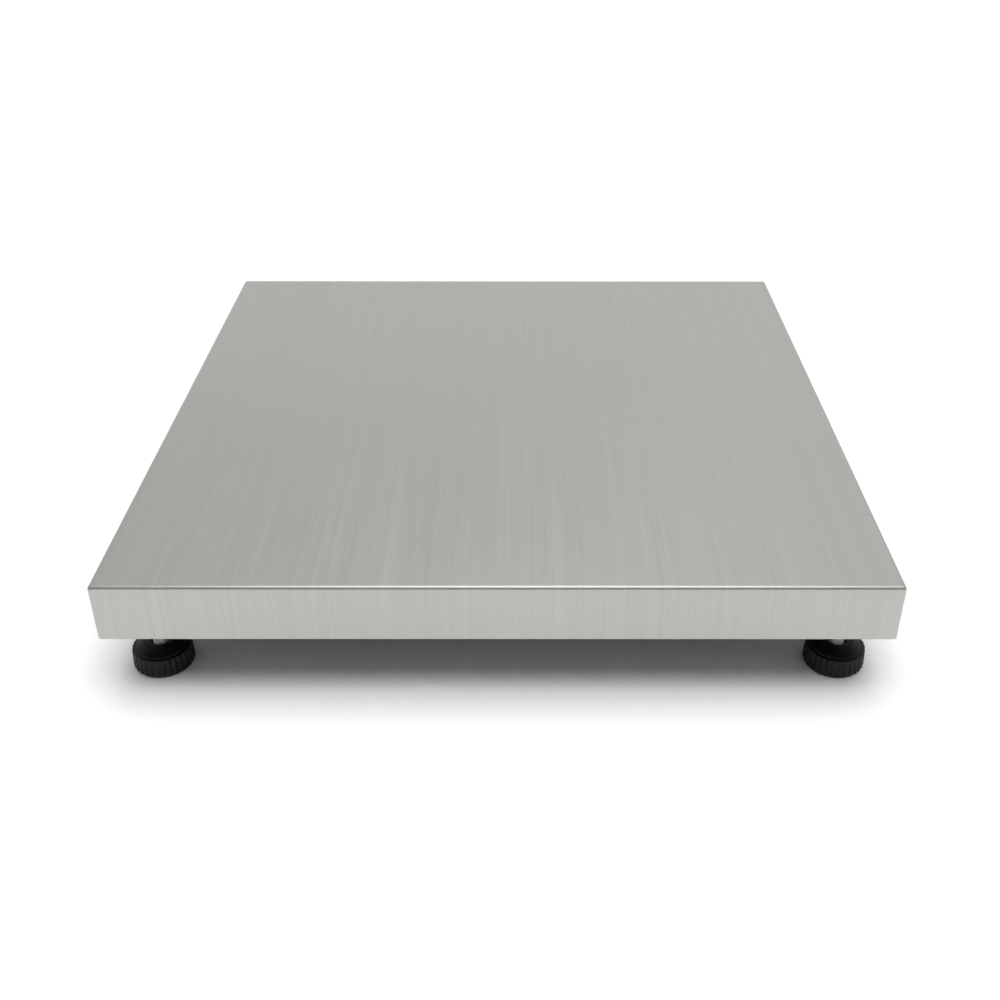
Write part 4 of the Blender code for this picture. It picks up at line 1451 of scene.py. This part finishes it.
def buildLead(values):
    curve = bpy.data.curves.new("signal_lead", "CURVE")
    curve.dimensions = "3D"
    curve.bevel_depth = values["radius"]
    curve.bevel_resolution = 4
    curve.resolution_u = 8
    curve.use_fill_caps = True
    spline = curve.splines.new("BEZIER")
    spline.bezier_points.add(len(leadRoute) - 1)
    for point, place in zip(spline.bezier_points, leadRoute):
        point.co = place
        point.handle_left_type = point.handle_right_type = "AUTO"
    lead = bpy.data.objects.new("signal_lead", curve)
    bpy.context.collection.objects.link(lead)
    makeActive(lead)
    bpy.ops.object.convert(target="MESH")
    finishPiece(settle("signal_lead"), "base", "lead_jacket", "load_cell_lead")


def buildSleeves(values):
    inner, wide, length = values["radius"] - play, values["sleeveRadius"], values["sleeveLength"]
    collar = wide + values["collar"]
    outline = [(inner, 0.0001), (collar, 0.0001), (collar, 0.0012), (wide, 0.0016)]
    for ridge in range(values["ridges"]):
        height, slim = 0.0022 + ridge * values["ridgePitch"], wide - ridge * 0.0003
        neck = slim - 0.0006
        outline += [(slim, height), (neck, height + 0.0003), (neck, height + 0.0009)]
    outline += [(values["bootRadius"], length - 0.0004), (values["radius"] + 0.0002, length)]
    sleeve = spinOutline("sleeve", outline + [(inner, length), (inner, 0.0001)], 40)
    start, end = Vector(leadRoute[0]), Vector(leadRoute[-1])
    start.x, end.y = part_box("load_cell")[0].x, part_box("signal_socket")[0].y
    rows = (
        ("lead_grommet", start, Matrix.Rotation(-quarterTurn, 3, "Y")),
        ("lead_boot", end, Matrix.Rotation(quarterTurn, 3, "X")),
    )
    for name, spot, turned in rows:
        finishPiece(copyPiece(sleeve, name, spot, turned), "base", "black_rubber")
    dropPiece(sleeve)


buildLead(leadValues)
buildSleeves(leadValues)
print("lead laid")


clipValues = {
    "loop": 0.0039,
    "hole": 0.0023,
    "tab": (0.018, 0.006, 0.0015),
    "cornerRadius": 0.0018,
    "edge": 0.00025,
    "screwHead": (0.0023, 0.0013),
    "screwPlace": 0.0063,
    "slot": 0.00045,
}


def buildSaddleScrews(values, height):
    radius, rise = values["screwHead"]
    outline = [(0, 0), (radius, 0), (radius, rise * 0.35)]
    outline += [(radius * 0.86, rise * 0.78), (radius * 0.5, rise), (0, rise)]
    screw = spinOutline("screw", outline, 40)
    slot, reach = values["slot"], radius * 0.62
    for across, along in ((slot, reach), (reach, slot)):
        low, high = (-across, -along, rise * 0.35), (across, along, rise + past)
        combine(screw, addBlock("crossSlot", low, high), "DIFFERENCE")
    headDown, place = Matrix.Rotation(math.pi, 3, "X"), values["screwPlace"]
    pair = [copyPiece(screw, "screwHere", (x, 0, height), headDown) for x in (-place, place)]
    dropPiece(screw)
    return joinPieces("screwPair", pair)


def buildClips(values):
    length, width, thick = values["tab"]
    clip = addBlock("clip", (-length / 2, -width / 2, -thick), (length / 2, width / 2, 0))
    startEdit(clip)
    pick("EDGE", lambda middle, run: abs(run.z) > near)
    bevelPicked(values["cornerRadius"], 5)
    endEdit()
    middle = (0, 0, -values["loop"])
    combine(clip, addRod("loop", middle, values["loop"], width * 0.98, 48, "Y"), "UNION")
    combine(clip, addRod("loopHole", middle, values["hole"], width * 2, 40, "Y"), "DIFFERENCE")
    roundEdges(clip, values["edge"], 2, 50)
    screws = buildSaddleScrews(values, -thick)
    cross, rail = middleOf("lead_clip_cross"), middleOf("lead_clip_rail")
    cross.z, rail.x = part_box("lead_clip_cross")[1].z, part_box("lead_clip_rail")[0].x
    sideways = Matrix.Rotation(-quarterTurn, 3, "Y")
    for where, spot, turned in (("cross", cross, None), ("rail", rail, sideways)):
        piece = copyPiece(clip, f"lead_saddle_{where}", spot, turned)
        finishPiece(piece, "base", "black_plastic", f"lead_clip_{where}")
        piece = copyPiece(screws, f"saddle_screws_{where}", spot, turned)
        finishPiece(piece, "base", "zinc_steel")
    dropPiece(clip)
    dropPiece(screws)


buildClips(clipValues)
print("lead clipped")
